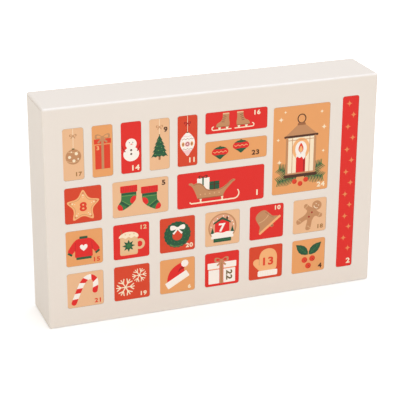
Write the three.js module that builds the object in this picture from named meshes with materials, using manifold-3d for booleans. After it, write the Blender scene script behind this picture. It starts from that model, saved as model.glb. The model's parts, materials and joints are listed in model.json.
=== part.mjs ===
// Pet advent calendar: a folded board carton with creased doors in its front
// and a slotted partition inside, which keeps a space behind each door.
// Millimetres. X to the right, Y to the back, Z up, origin at the middle of the base.
// The pieces are laid out from the carton's left front base corner, and the group at the end moves them.

import * as THREE from 'three';
import { mergeVertices } from 'three/addons/utils/BufferGeometryUtils.js';
import { RoundedBoxGeometry } from 'three/addons/geometries/RoundedBoxGeometry.js';
import Module from 'manifold-3d';

const wasm = await Module();
wasm.setup();

// Boards
const board = 1.5;                  // carton board, a fine-fluted one
const divider = 1.2;                // partition board
const foldRadius = 3;               // outside of the carton's folds
const foldSteps = 4;

// Clearances
const cutGap = 0.3;                 // along a door's cut edges
const creaseGap = 0.3;              // between a door and the board it hinges on
const fitGap = 0.3;                 // partition to carton, and butted dividers
const slotGap = 0.2;                // each side of a slot or a tab

// Doors
const smallDoorWidth = 49.3;
const smallDoorHeight = 49.3;
const tallDoorWidth = 27.3;
const wideDoorWidth = 87;
const wideDoorHeight = 29.3;
const pairDoorWidth = 76;           // the door beside the first small one in the third band
const stripDoorWidth = 24.1;
const cornerRadius = 3;
const cornerSteps = 6;
const openAngle = 160;              // how far a creased door folds back, in degrees

// Board left between doors
const sideMargin = 25.3;
const rightMargin = 27.1;
const baseMargin = 26.1;
const topMargin = 29.1;
const columnLand = 14.6;
const rowLand = 10.4;
const tallLand = 10.9;
const wideLand = 10.7;
const pairLand = 12.3;
const bigLand = 9;
const bigDoorSill = 1.9;            // the big door's sill over the third band's
const bigDoorHead = 3.6;            // its head below the top band's
const thirdBandSetback = 2.9;       // the third band ends this much before the wide doors
const stripLand = 18.2;
const stripRise = 1.4;              // the strip door's head over the top band's

// Carton
const boxDepth = 78;
const dustFlapLength = 70;
const glueFlapWidth = 22;
const tuckTabLength = 20;
const tuckTabInset = 6;

// Partition joints
const tabWidth = 18;
const frontTab = 22;                // from the partition's front edge to a tab that comes from below
const rearTab = 52;                 // the same for one that comes from above

// Numbers on the doors, band by band from the base
const baseBand = ['21', '19', '06', '22', '13', '04'];
const secondBand = ['15', '12', '20', '07', '10', '18'];
const tallBand = ['17', '03', '14', '09', '11'];

// Colours
const cream = 0xe6dccf;
const brownBoard = 0xb9926a;
const red = 0xe0352c;
const orangeRed = 0xd2502f;
const tan = 0xeec08f;
const orangeTan = 0xe9a263;
const doorColours = [
  [red, ['01', '02', '10', '12', '14', '16', '22']],
  [orangeRed, ['08', '11', '13', '19', '20']],
  [tan, ['05', '07', '09', '17', '18', '21']],
  [orangeTan, ['03', '04', '06', '15', '23', '24']],
];
const colourOf = (number) => doorColours.find(([, numbers]) => numbers.includes(number))[0];

// The front's layout, as a rectangle for each door: left and right on X, sill and head on Z
const bandPitch = smallDoorHeight + rowLand;
const bandSills = [0, 1, 2, 3].map((band) => baseMargin + band * bandPitch);
const tallDoorHeight = 2 * wideDoorHeight + wideLand;
const topBandHead = bandSills[3] + tallDoorHeight;
const columnLeft = (column) => sideMargin + column * (smallDoorWidth + columnLand);
const tallLeft = (place) => sideMargin + place * (tallDoorWidth + tallLand);
const gridRight = columnLeft(baseBand.length - 1) + smallDoorWidth;
const wideLeft = tallLeft(tallBand.length);
const wideRight = wideLeft + wideDoorWidth;
const pairLeft = columnLeft(1);
const pairRight = pairLeft + pairDoorWidth;
const stripLeft = gridRight + stripLand;
const boxWidth = stripLeft + stripDoorWidth + rightMargin;
const boxHeight = topBandHead + topMargin;

function rectangle(left, right, sill, head) {
  return { left, right, sill, head };
}

function layOutDoors() {
  const doors = {};
  const small = (left, sill) => rectangle(left, left + smallDoorWidth, sill, sill + smallDoorHeight);
  baseBand.forEach((number, column) => {
    doors[number] = small(columnLeft(column), bandSills[0]);
  });
  secondBand.forEach((number, column) => {
    doors[number] = small(columnLeft(column), bandSills[1]);
  });
  const thirdHead = bandSills[2] + smallDoorHeight;
  doors['08'] = small(columnLeft(0), bandSills[2]);
  doors['05'] = rectangle(pairLeft, pairRight, bandSills[2], thirdHead);
  doors['01'] = rectangle(pairRight + pairLand, wideRight - thirdBandSetback, bandSills[2], thirdHead);
  tallBand.forEach((number, place) => {
    const left = tallLeft(place);
    doors[number] = rectangle(left, left + tallDoorWidth, bandSills[3], topBandHead);
  });
  doors['23'] = rectangle(wideLeft, wideRight, bandSills[3], bandSills[3] + wideDoorHeight);
  doors['16'] = rectangle(wideLeft, wideRight, topBandHead - wideDoorHeight, topBandHead);
  doors['24'] = rectangle(wideRight + bigLand, gridRight, bandSills[2] + bigDoorSill, topBandHead - bigDoorHead);
  doors['02'] = rectangle(stripLeft, stripLeft + stripDoorWidth, bandSills[0], topBandHead + stripRise);
  return doors;
}

const doors = layOutDoors();

// Solids
const weldDistance = 1e-4;

function solidOf(geometry) {
  const bare = geometry.clone();
  bare.deleteAttribute('normal');
  bare.deleteAttribute('uv');
  const welded = mergeVertices(bare, weldDistance);
  const vertProperties = Float32Array.from(welded.attributes.position.array);
  const triVerts = Uint32Array.from(welded.index.array);
  return new wasm.Manifold(new wasm.Mesh({ numProp: 3, vertProperties, triVerts }));
}

function geometryOf(solid) {
  const mesh = solid.getMesh();
  const geometry = new THREE.BufferGeometry();
  geometry.setAttribute('position', new THREE.BufferAttribute(Float32Array.from(mesh.vertProperties), 3));
  geometry.setIndex(new THREE.BufferAttribute(Uint32Array.from(mesh.triVerts), 1));
  geometry.computeVertexNormals();
  return geometry;
}

function block([x0, x1], [y0, y1], [z0, z1]) {
  const geometry = new THREE.BoxGeometry(x1 - x0, y1 - y0, z1 - z0);
  geometry.translate((x0 + x1) / 2, (y0 + y1) / 2, (z0 + z1) / 2);
  return solidOf(geometry);
}

const gone = (solid, cutters) => cutters.reduce((left, cutter) => left.subtract(cutter), solid);
const joined = (solid, extras) => extras.reduce((whole, extra) => whole.add(extra), solid);
const middle = (a, b) => (a + b) / 2;

function meshOf(name, geometry, colour, roughness = 0.75) {
  const material = new THREE.MeshStandardMaterial({ color: colour, roughness, metalness: 0 });
  const mesh = new THREE.Mesh(geometry, material);
  mesh.name = name;
  return mesh;
}

// A rounded rectangle that stands on its sill, from the front face to a depth behind it
function roundedPanel(width, height, radius, depth) {
  const points = [];
  const centres = [
    [width - radius, height - radius],
    [radius, height - radius],
    [radius, radius],
    [width - radius, radius],
  ];
  centres.forEach(([x, z], corner) => {
    for (let step = 0; step <= cornerSteps; step += 1) {
      const turn = (corner + step / cornerSteps) * Math.PI / 2;
      points.push(new THREE.Vector2(x + radius * Math.cos(turn), z + radius * Math.sin(turn)));
    }
  });
  const geometry = new THREE.ExtrudeGeometry(new THREE.Shape(points), { depth, bevelEnabled: false });
  geometry.rotateX(Math.PI / 2);
  geometry.translate(0, depth, 0);
  return geometry;
}

// A door's rectangle is its crease line on the left and the middle of its cut on the other sides
function doorMesh(number) {
  const { left, right, sill, head } = doors[number];
  const width = right - left - creaseGap / 2 - cutGap / 2;
  const height = head - sill - cutGap;
  const geometry = roundedPanel(width, height, cornerRadius, board);
  geometry.translate(creaseGap / 2, 0, 0);
  const mesh = meshOf(`door_${number}`, geometry, colourOf(number));
  mesh.position.set(left, 0, sill + cutGap / 2);
  mesh.userData = { hinge: [left, 0, sill], axis: [0, 0, -1], degrees: [0, openAngle] };
  return mesh;
}

function doorCutter({ left, right, sill, head }) {
  const width = right - left + creaseGap / 2 + cutGap / 2;
  const height = head - sill + cutGap;
  const cutter = roundedPanel(width, height, cornerRadius + cutGap, 3 * board);
  cutter.translate(left - creaseGap / 2, -board, sill - cutGap / 2);
  return solidOf(cutter);
}

// The carton's walls, with soft folds outside and sharp creases inside
function cartonShell() {
  const outside = new RoundedBoxGeometry(boxWidth, boxDepth, boxHeight, foldSteps, foldRadius);
  outside.translate(boxWidth / 2, boxDepth / 2, boxHeight / 2);
  const inside = block([board, boxWidth - board], [board, boxDepth - board], [board, boxHeight - board]);
  return solidOf(outside).subtract(inside);
}

// Each panel is the part of the shell between the planes where its folds begin.
// The front, the top and the back fold out of each other, and the bottom out of the front.
// Cut edges lie along the ends of the top and bottom, and round the back's other three sides.
function cartonPanels() {
  const shell = cartonShell();
  const allWidth = [0, boxWidth];
  const behindFront = [foldRadius, boxDepth];
  const allHeight = [0, boxHeight];
  const flapHeight = [foldRadius + cutGap, boxHeight - foldRadius - cutGap];
  const keep = (x, y, z) => shell.intersect(block(x, y, z));
  const front = keep(allWidth, [0, foldRadius], allHeight);
  const betweenFlaps = [foldRadius + cutGap, boxWidth - foldRadius - cutGap];
  const backHeight = [foldRadius + cutGap, boxHeight - foldRadius];
  return {
    front_panel: gone(front, Object.values(doors).map(doorCutter)),
    back_panel: keep(betweenFlaps, [boxDepth - foldRadius, boxDepth], backHeight),
    top_panel: keep(allWidth, behindFront, [boxHeight - foldRadius, boxHeight]),
    bottom_panel: keep(allWidth, behindFront, [0, foldRadius]),
    left_end_flap: keep([0, foldRadius], behindFront, flapHeight),
    right_end_flap: keep([boxWidth - foldRadius, boxWidth], behindFront, flapHeight),
  };
}

// Flaps that lie inside the back panel: one glued along the base, and a tab tucked in at each end
const backFlapSpan = [boxDepth - 2 * board - fitGap, boxDepth - board - fitGap];

function backFlaps() {
  const glued = [board + fitGap, board + fitGap + glueFlapWidth];
  const tucked = [glued[1] + tuckTabInset, boxHeight - board - tuckTabInset];
  const left = [board + fitGap, board + fitGap + tuckTabLength];
  const right = [boxWidth - left[1], boxWidth - left[0]];
  return {
    glue_flap: block([left[0], right[1]], backFlapSpan, glued),
    left_tuck_tab: block(left, backFlapSpan, tucked),
    right_tuck_tab: block(right, backFlapSpan, tucked),
  };
}

// Flaps folded in behind the ends, from the top and the bottom
function dustFlaps() {
  const y = [board + fitGap, backFlapSpan[0] - fitGap];
  const low = [board + fitGap, board + fitGap + dustFlapLength];
  const high = [boxHeight - low[1], boxHeight - low[0]];
  const left = [board + fitGap, 2 * board + fitGap];
  const right = [boxWidth - left[1], boxWidth - left[0]];
  return {
    left_lower_dust_flap: block(left, y, low),
    left_upper_dust_flap: block(left, y, high),
    right_lower_dust_flap: block(right, y, low),
    right_upper_dust_flap: block(right, y, high),
  };
}

// Partition
const partitionFront = board + fitGap;
const partitionRear = backFlapSpan[0] - fitGap;
const partitionMiddle = middle(partitionFront, partitionRear);
const partitionSpan = [partitionFront, partitionRear];
const insideLeft = 2 * board + 2 * fitGap;
const insideFloor = board + fitGap;
const insideCeiling = boxHeight - board - fitGap;

// Where the dividers stand: in the middle of the board between two doors
const between = (first, second) => middle(doors[first].right, doors[second].left);
const shelfBetween = (lower, upper) => middle(doors[lower].head, doors[upper].sill);
const lowShelf = shelfBetween('21', '15');
const middleShelf = shelfBetween('15', '08');
const highShelf = shelfBetween('08', '17');
const wideShelf = shelfBetween('23', '16');
const stripUpright = between('04', '02');
const bigUpright = between('23', '24');
const lowUprights = baseBand.slice(1).map((number, place) => between(baseBand[place], number));
const middleUprights = [between('08', '05'), between('05', '01')];
const topUprights = [...tallBand.slice(1), '23'].map((number, place) => between(tallBand[place], number));

const tabSpans = {
  front: [partitionFront + frontTab - tabWidth / 2, partitionFront + frontTab + tabWidth / 2],
  rear: [partitionFront + rearTab - tabWidth / 2, partitionFront + rearTab + tabWidth / 2],
};
const around = (centre, width) => [centre - width / 2, centre + width / 2];
const wider = ([low, high], gap) => [low - gap, high + gap];

// A shelf lies flat and runs along X, and an upright stands and runs along Z
const flat = (z) => (along, across) => block(along, across, around(z, divider));
const standing = (x) => (along, across) => block(around(x, divider), across, along);

// Where a divider butts another one it stops before it, and a tab goes on through its slot
const endBefore = (centre) => centre - divider / 2 - fitGap;
const startAfter = (centre) => centre + divider / 2 + fitGap;
const tabBefore = (centre) => [endBefore(centre) - divider, centre + divider / 2];
const tabAfter = (centre) => [centre - divider / 2, startAfter(centre) + divider];

// A slot for a tab, and half of a crossing of two dividers
const slotThrough = (centre) => around(centre, divider + 2 * slotGap);
const slotDepth = (centre) => around(centre, divider + 2 * fitGap);
const slotInShelf = (shelf, x, tab) => block(slotThrough(x), wider(tabSpans[tab], slotGap), slotDepth(shelf));
const slotInUpright = (upright, z, tab) => block(slotDepth(upright), wider(tabSpans[tab], slotGap), slotThrough(z));
const rearHalf = [partitionMiddle - slotGap, partitionRear + board];
const frontHalf = [partitionFront - board, partitionMiddle + slotGap];

function shelves() {
  const low = flat(lowShelf);
  const mid = flat(middleShelf);
  const high = flat(highShelf);
  const wide = flat(wideShelf);
  const lastTopUpright = topUprights[topUprights.length - 1];
  const crossings = lowUprights.map((x) => block(slotThrough(x), rearHalf, slotDepth(lowShelf)));
  return {
    low_shelf: gone(
      low([insideLeft, endBefore(stripUpright)], partitionSpan).add(low(tabBefore(stripUpright), tabSpans.front)),
      crossings,
    ),
    middle_shelf: gone(
      mid([insideLeft, endBefore(stripUpright)], partitionSpan).add(mid(tabBefore(stripUpright), tabSpans.front)),
      [
        ...lowUprights.map((x) => slotInShelf(middleShelf, x, 'front')),
        ...[...middleUprights, bigUpright].map((x) => slotInShelf(middleShelf, x, 'rear')),
      ],
    ),
    high_shelf: gone(
      high([insideLeft, endBefore(bigUpright)], partitionSpan).add(high(tabBefore(bigUpright), tabSpans.front)),
      [
        ...middleUprights.map((x) => slotInShelf(highShelf, x, 'front')),
        ...topUprights.map((x) => slotInShelf(highShelf, x, 'rear')),
      ],
    ),
    wide_door_shelf: joined(
      wide([startAfter(lastTopUpright), endBefore(bigUpright)], partitionSpan),
      [wide(tabAfter(lastTopUpright), tabSpans.front), wide(tabBefore(bigUpright), tabSpans.front)],
    ),
  };
}

function uprights() {
  const pieces = {};
  lowUprights.forEach((x, place) => {
    const stand = standing(x);
    const plate = stand([insideFloor, endBefore(middleShelf)], partitionSpan);
    const crossing = block(slotDepth(x), frontHalf, slotThrough(lowShelf));
    pieces[`low_upright_${place + 1}`] = plate.add(stand(tabBefore(middleShelf), tabSpans.front)).subtract(crossing);
  });
  middleUprights.forEach((x, place) => {
    const stand = standing(x);
    pieces[`middle_upright_${place + 1}`] = joined(
      stand([startAfter(middleShelf), endBefore(highShelf)], partitionSpan),
      [stand(tabAfter(middleShelf), tabSpans.rear), stand(tabBefore(highShelf), tabSpans.front)],
    );
  });
  topUprights.forEach((x, place) => {
    const stand = standing(x);
    const plate = stand([startAfter(highShelf), insideCeiling], partitionSpan);
    const slots = place === topUprights.length - 1 ? [slotInUpright(x, wideShelf, 'front')] : [];
    pieces[`top_upright_${place + 1}`] = gone(plate.add(stand(tabAfter(highShelf), tabSpans.rear)), slots);
  });
  const big = standing(bigUpright);
  pieces.big_door_upright = gone(
    big([startAfter(middleShelf), insideCeiling], partitionSpan).add(big(tabAfter(middleShelf), tabSpans.rear)),
    [slotInUpright(bigUpright, highShelf, 'front'), slotInUpright(bigUpright, wideShelf, 'front')],
  );
  pieces.strip_door_upright = gone(
    standing(stripUpright)([insideFloor, insideCeiling], partitionSpan),
    [slotInUpright(stripUpright, lowShelf, 'front'), slotInUpright(stripUpright, middleShelf, 'front')],
  );
  return pieces;
}

function groupOf(pieces, colour, roughness) {
  const group = new THREE.Group();
  Object.entries(pieces).forEach(([name, solid]) => {
    group.add(meshOf(name, geometryOf(solid), colour, roughness));
  });
  return group;
}

const carton = groupOf({ ...cartonPanels(), ...backFlaps(), ...dustFlaps() }, cream, 0.7);
const partition = groupOf({ ...shelves(), ...uprights() }, brownBoard, 0.85);
const front = new THREE.Group();
Object.keys(doors).sort().forEach((number) => front.add(doorMesh(number)));

const calendar = new THREE.Group();
calendar.name = 'pet_advent_calendar';
calendar.position.set(-boxWidth / 2, -boxDepth / 2, 0);
calendar.add(carton, partition, front);

export default calendar;
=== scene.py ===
"""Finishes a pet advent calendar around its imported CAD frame.

It makes the printed and folded carton board, the doors as three layers of fluted board
with their creases, the twenty-four door pictures and numbers, the kraft partition and a
plain studio. Lengths are metres, except in the drawings, which are in millimetres from
the middle of a door, to the right and up.
"""

import json
import math
import random
from contextlib import contextmanager
from functools import cache, partial

import bmesh
import bpy
from bpy.props import FloatProperty, FloatVectorProperty, IntProperty, PointerProperty
from mathutils import Matrix, Vector
from mathutils.geometry import delaunay_2d_cdt

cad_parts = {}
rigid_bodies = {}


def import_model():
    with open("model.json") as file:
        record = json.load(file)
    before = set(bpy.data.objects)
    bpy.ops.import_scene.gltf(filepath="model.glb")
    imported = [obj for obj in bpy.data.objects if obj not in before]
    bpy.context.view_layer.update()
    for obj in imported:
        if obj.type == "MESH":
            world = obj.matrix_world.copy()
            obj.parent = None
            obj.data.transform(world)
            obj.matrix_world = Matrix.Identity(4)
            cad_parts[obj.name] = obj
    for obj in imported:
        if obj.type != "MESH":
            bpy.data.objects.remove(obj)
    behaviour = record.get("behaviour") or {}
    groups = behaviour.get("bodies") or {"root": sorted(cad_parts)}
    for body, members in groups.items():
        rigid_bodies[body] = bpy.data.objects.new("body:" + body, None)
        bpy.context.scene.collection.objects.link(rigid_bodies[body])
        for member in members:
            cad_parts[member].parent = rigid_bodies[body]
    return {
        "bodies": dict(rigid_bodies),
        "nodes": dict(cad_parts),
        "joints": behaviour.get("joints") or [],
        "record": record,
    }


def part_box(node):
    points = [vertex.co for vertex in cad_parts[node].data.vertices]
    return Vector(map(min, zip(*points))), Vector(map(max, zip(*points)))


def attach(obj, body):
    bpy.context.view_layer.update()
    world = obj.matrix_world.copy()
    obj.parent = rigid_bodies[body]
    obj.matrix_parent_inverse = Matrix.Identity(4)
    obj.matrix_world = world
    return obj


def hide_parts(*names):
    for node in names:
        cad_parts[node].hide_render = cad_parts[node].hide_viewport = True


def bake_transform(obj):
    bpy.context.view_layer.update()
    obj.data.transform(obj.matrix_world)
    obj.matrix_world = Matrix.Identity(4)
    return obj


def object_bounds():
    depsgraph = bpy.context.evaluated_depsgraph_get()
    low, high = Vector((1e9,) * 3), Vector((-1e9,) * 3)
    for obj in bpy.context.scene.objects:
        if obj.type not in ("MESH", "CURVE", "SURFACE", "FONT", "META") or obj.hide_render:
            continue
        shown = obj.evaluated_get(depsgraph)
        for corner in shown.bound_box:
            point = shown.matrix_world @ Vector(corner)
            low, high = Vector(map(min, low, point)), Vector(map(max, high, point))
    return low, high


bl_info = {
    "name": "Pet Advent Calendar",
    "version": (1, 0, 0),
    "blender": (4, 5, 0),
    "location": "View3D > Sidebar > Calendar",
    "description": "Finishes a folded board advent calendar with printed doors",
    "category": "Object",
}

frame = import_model()

MM = 0.001
WELD = 1e-6

# The frame: the carton's box, its walls and flaps, and each door's corners, crease and ground
LOW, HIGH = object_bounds()
FRONT = LOW.y
SHELL_NODES = (
    "front_panel",
    "back_panel",
    "top_panel",
    "bottom_panel",
    "left_end_flap",
    "right_end_flap",
)
FLAP_NODES = (
    "glue_flap",
    "left_tuck_tab",
    "right_tuck_tab",
    "left_lower_dust_flap",
    "left_upper_dust_flap",
    "right_lower_dust_flap",
    "right_upper_dust_flap",
)
DOORS = {
    body.removeprefix("door_"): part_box(body)
    for body in sorted(frame["bodies"])
    if body.startswith("door_")
}
CREASES = {joint["child"].removeprefix("door_"): joint["pos_m"][0] for joint in frame["joints"]}
BOARD = DOORS["01"][1].y - DOORS["01"][0].y
GROUND_SLOTS = {
    row["node"].removeprefix("door_"): row["material_slot"]
    for row in frame["record"]["subparts"]
    if row["node"].startswith("door_")
}


def linear(channel):
    """One sRGB channel, 0 to 255, as the linear value that a shader takes."""
    value = channel / 255
    return value / 12.92 if value <= 0.04045 else ((value + 0.055) / 1.055) ** 2.4


def colour(name, red, green, blue, description):
    """A colour setting whose default is written in sRGB, 0 to 255."""
    default = (linear(red), linear(green), linear(blue))
    return FloatVectorProperty(
        name=name, description=description, default=default, subtype="COLOR", size=3, min=0.0, max=1.0
    )


def length(name, millimetres, description):
    """A length setting whose default is written in millimetres."""
    return FloatProperty(
        name=name, description=description, default=millimetres * MM, unit="LENGTH", precision=5, min=0.0
    )


def power(name, watts, description):
    """A lamp's power setting."""
    return FloatProperty(name=name, description=description, default=watts, unit="POWER", min=0.0)


class CalendarBoard(bpy.types.PropertyGroup):
    """Sizes of the fluted board, its creases and its ink."""

    liner: length("Liner", 0.25, "Thickness of each flat facing of the board")
    flute_pitch: length("Flute pitch", 3.3, "From one crest of the fluting to the next")
    flute_wall: length("Flute wall", 0.2, "Thickness of the fluted sheet")
    flute_side: length("Flute side inset", 1.05, "From a door's upright edges to its fluting")
    flute_end: length("Flute end inset", 0.25, "From a door's level edges to the ends of its fluting")
    corner: length("Corner radius", 3.0, "Rounding of a door's corners")
    fold: length("Fold radius", 3.0, "Outside of the carton's folds")
    edge: length("Edge chamfer", 0.1, "Crushed edge of a cut facing")
    burr: length("Cut burr", 0.12, "How far a facing spreads into its cut, on a door's three free sides")
    crease: length("Crease half width", 0.8, "From the crease line to where the board lies flat")
    crease_rise: length("Crease rise", 0.03, "How far the creased facing stands over the board")
    film: length("Ink film", 0.02, "How far the print of a picture stands over its door")
    flute_steps: IntProperty(
        name="Flute steps", description="Points along one wave of the fluting", default=12, min=6
    )


class CalendarInks(bpy.types.PropertyGroup):
    """Colours of the print and of the bare board."""

    carton: colour("Carton", 235, 224, 211, "Ground of the carton's outside")
    red_print: colour("Red ground", 225, 46, 38, "Ground of the red doors")
    orange_red_print: colour("Orange red ground", 216, 70, 40, "Ground of the orange red doors")
    tan_print: colour("Tan ground", 237, 187, 142, "Ground of the tan doors")
    orange_tan_print: colour("Orange tan ground", 234, 162, 101, "Ground of the orange tan doors")
    cream: colour("Cream", 250, 230, 196, "Threads, runners, foam and numbers")
    snow: colour("Snow", 251, 241, 228, "Bare lining paper left in the print")
    peach: colour("Peach", 246, 180, 120, "Biscuit and mitten")
    glow: colour("Glow", 236, 138, 84, "Sparkles on the long door")
    sand: colour("Sand", 232, 190, 142, "Mug, stitches and icing on brown")
    blush: colour("Blush", 226, 164, 128, "Air inside the snow globe")
    tan: colour("Tan", 196, 140, 96, "Boots, sleigh, bell and gingerbread")
    khaki: colour("Khaki", 166, 116, 62, "Faint numbers on the tan doors")
    brown: colour("Brown", 158, 102, 64, "Shade on the tan motifs")
    umber: colour("Umber", 78, 46, 30, "Darkest brown, for small marks and numbers")
    olive: colour("Olive", 112, 96, 52, "Caps of the hung ornaments, and one number")
    fir: colour("Fir green", 38, 84, 56, "Tree, wreath and holly")
    leaf: colour("Leaf green", 58, 116, 64, "Lighter green over the fir green")
    lime: colour("Lime green", 118, 158, 84, "Light on the green motifs")
    red: colour("Red", 226, 42, 38, "Red motifs")
    poppy: colour("Poppy", 224, 66, 40, "Orange red motifs and numbers")
    wine: colour("Wine", 162, 32, 32, "Shade on the red motifs")
    pink: colour("Pink", 244, 200, 196, "Pale bands on a bauble")
    liner: colour("Liner", 188, 150, 108, "Uncoated kraft liner inside the carton")
    kraft: colour("Kraft", 176, 134, 92, "Partition board")
    core: colour("Cut board", 206, 182, 150, "Cut edges of the board")


class CalendarStudio(bpy.types.PropertyGroup):
    """Camera, lamps and floor."""

    camera_place: FloatVectorProperty(
        name="Camera place",
        description="Where the camera stands",
        default=(-0.63956, -1.69248, 0.86463),
        subtype="TRANSLATION",
        size=3,
    )
    camera_turn: FloatVectorProperty(
        name="Camera turn",
        description="Which way the camera looks",
        default=tuple(math.radians(angle) for angle in (68.098, -0.2648, -20.3641)),
        subtype="EULER",
        size=3,
    )
    lens: FloatProperty(
        name="Lens", description="Focal length in millimetres on a 36 mm frame", default=129.82, min=1.0
    )
    key: power("Key lamp", 17.4, "Power of the lamp in front")
    top: power("Top lamp", 20.5, "Power of the lamp overhead")
    fill: power("Fill lamp", 7.0, "Power of the lamp at the left")
    key_tint: colour("Key tint", 250, 251, 255, "Colour of the lamp in front")
    top_tint: colour("Top tint", 228, 237, 255, "Colour of the lamp overhead")
    fill_tint: colour("Fill tint", 255, 253, 251, "Colour of the lamp at the left")
    sky: FloatProperty(
        name="Sky", description="Strength of the even light from all round", default=0.58, min=0.0
    )
    floor: colour("Floor", 238, 235, 230, "Colour of the floor under the lamps")
    floor_glow: FloatProperty(
        name="Floor glow",
        description="White that the floor shows the camera besides the lamps' light",
        default=0.32,
        min=0.0,
    )


# Node trees


class Nodes:
    """Adds nodes to one tree and links them, so that a tree reads as a few short lines."""

    def __init__(self, tree):
        self.tree = tree
        tree.nodes.clear()

    def add(self, kind, inputs=None, **settings):
        """A node with its settings, and its inputs set to values or linked to sockets."""
        node = self.tree.nodes.new(kind)
        for key, value in settings.items():
            setattr(node, key, value)
        for key, value in (inputs or {}).items():
            self.feed(node.inputs[key], value)
        return node

    def feed(self, socket, value):
        """Sets an input to a value, or links it to an output."""
        if isinstance(value, bpy.types.NodeSocket):
            self.tree.links.new(value, socket)
        else:
            socket.default_value = value

    def math(self, operation, first, second=0.0, third=0.0):
        """The result of one step of arithmetic."""
        return self.add("ShaderNodeMath", {0: first, 1: second, 2: third}, operation=operation).outputs[0]

    def vector(self, operation, first, second=None):
        """The result of one step of arithmetic on vectors."""
        inputs = {0: first} if second is None else {0: first, 1: second}
        return self.add("ShaderNodeVectorMath", inputs, operation=operation).outputs[0]

    def apart(self, vector):
        """A vector's three numbers."""
        return self.add("ShaderNodeSeparateXYZ", {0: vector}).outputs

    def ramp(self, value, low, high, to_low=0.0, to_high=1.0):
        """The value taken from one range to another, smoothly."""
        inputs = {"Value": value, "From Min": low, "From Max": high, "To Min": to_low, "To Max": to_high}
        return self.add("ShaderNodeMapRange", inputs, interpolation_type="SMOOTHSTEP").outputs["Result"]

    def noise(self, position, scale, detail=2.0, roughness=0.5, stretch=None):
        """Noise from 0 to 1 at a position, stretched by a vector if one is given."""
        if stretch:
            position = self.vector("MULTIPLY", position, stretch)
        inputs = {"Vector": position, "Scale": scale, "Detail": detail, "Roughness": roughness}
        return self.add("ShaderNodeTexNoise", inputs).outputs["Fac"]

    def blend(self, factor, first, second):
        """Two colours mixed."""
        return self.add("ShaderNodeMix", {0: factor, 6: first, 7: second}, data_type="RGBA").outputs[2]

    def shade(self, shown, value):
        """A colour made lighter or darker by a factor."""
        return self.add("ShaderNodeHueSaturation", {"Value": value, "Color": shown}).outputs["Color"]

    def group(self, tree, inputs):
        """The outputs of a shader node group that is placed with its own values."""
        return self.add("ShaderNodeGroup", inputs, node_tree=tree).outputs


def node_group(name, kind, inputs, outputs):
    """A new node tree with named sockets, its nodes, its inputs and a call that feeds its outputs."""
    tree = bpy.data.node_groups.new(name, kind)
    for in_out, sockets in (("INPUT", inputs), ("OUTPUT", outputs)):
        for socket, (socket_kind, default) in sockets.items():
            made = tree.interface.new_socket(socket, in_out=in_out, socket_type=f"NodeSocket{socket_kind}")
            if default is not None:
                made.default_value = default
    nodes = Nodes(tree)
    source = nodes.add("NodeGroupInput").outputs
    sink = nodes.add("NodeGroupOutput")

    def give(results):
        for key, value in results.items():
            nodes.feed(sink.inputs[key], value)
        spread(tree, sink)
        return tree

    return nodes, source, give


def spread(tree, last):
    """Lays a tree's nodes out in columns, by how many links each is from the last one."""
    depth = {last: 0}
    waiting = [last]
    while waiting:
        node = waiting.pop()
        for link in [link for socket in node.inputs for link in socket.links]:
            if depth.get(link.from_node, -1) < depth[node] + 1:
                depth[link.from_node] = depth[node] + 1
                waiting.append(link.from_node)
    column_width, row_height = 220, 260
    rows = {}
    for node in tree.nodes:
        column = depth.get(node, 0)
        rows[column] = rows.get(column, 0) + 1
        node.location = (-column_width * column, -row_height * rows[column])


def paper_group():
    """Lined paper: a fine fibre and slow clouds. Tone stays about a half."""
    nodes, source, give = node_group(
        "Lined paper",
        "ShaderNodeTree",
        {"Position": ("Vector", None), "Fibre": ("Float", 900.0), "Cloud": ("Float", 14.0)},
        {"Tone": ("Float", None), "Height": ("Float", None)},
    )
    place = source["Position"]
    fibre = nodes.noise(place, source["Fibre"], detail=4.0, roughness=0.6, stretch=(1.0, 1.0, 0.35))
    cloud = nodes.noise(place, source["Cloud"], detail=2.0)
    waves = nodes.noise(place, scale=320.0, detail=1.0, stretch=(1.0, 1.0, 0.02))
    cloud_share, fibre_share, wave_share = 0.6, 0.25, 0.5
    clouds = nodes.math("MULTIPLY_ADD", cloud, cloud_share, (1.0 - cloud_share) / 2)
    fibres = nodes.math("SUBTRACT", fibre, 0.5)
    tone = nodes.math("MULTIPLY_ADD", fibres, fibre_share, clouds)
    height = nodes.math("MULTIPLY_ADD", waves, wave_share, fibre)
    return give({"Tone": tone, "Height": height})


def ink_group():
    """Offset ink on paper: pinholes where the paper shows, and a slightly uneven film."""
    nodes, source, give = node_group(
        "Printed ink",
        "ShaderNodeTree",
        {
            "Position": ("Vector", None),
            "Ink": ("Color", (0.5, 0.5, 0.5, 1.0)),
            "Paper": ("Color", (0.9, 0.86, 0.8, 1.0)),
            "Tone": ("Float", 0.5),
            "Pinholes": ("Float", 0.2),
            "Unevenness": ("Float", 0.08),
        },
        {"Color": ("Color", None), "Roughness": ("Float", None)},
    )
    specks = nodes.noise(source["Position"], scale=2600.0, detail=2.0, roughness=0.7)
    holes = nodes.math("MULTIPLY", nodes.ramp(specks, low=0.6, high=0.74), source["Pinholes"])
    swing = nodes.math("MULTIPLY", nodes.math("SUBTRACT", source["Tone"], 0.5), source["Unevenness"])
    shade = nodes.shade(source["Ink"], nodes.math("ADD", 1.0, swing))
    mixed = nodes.blend(holes, shade, source["Paper"])
    smoothest, roughening = 0.42, 0.16
    roughness = nodes.math("MULTIPLY_ADD", specks, roughening, smoothest)
    return give({"Color": mixed, "Roughness": roughness})


# Inputs that tell a group where the carton's box is
BOX_INPUTS = {
    "Position": ("Vector", None),
    "Middle": ("Vector", tuple((LOW + HIGH) / 2)),
    "Half": ("Vector", tuple((HIGH - LOW) / 2)),
}


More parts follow.
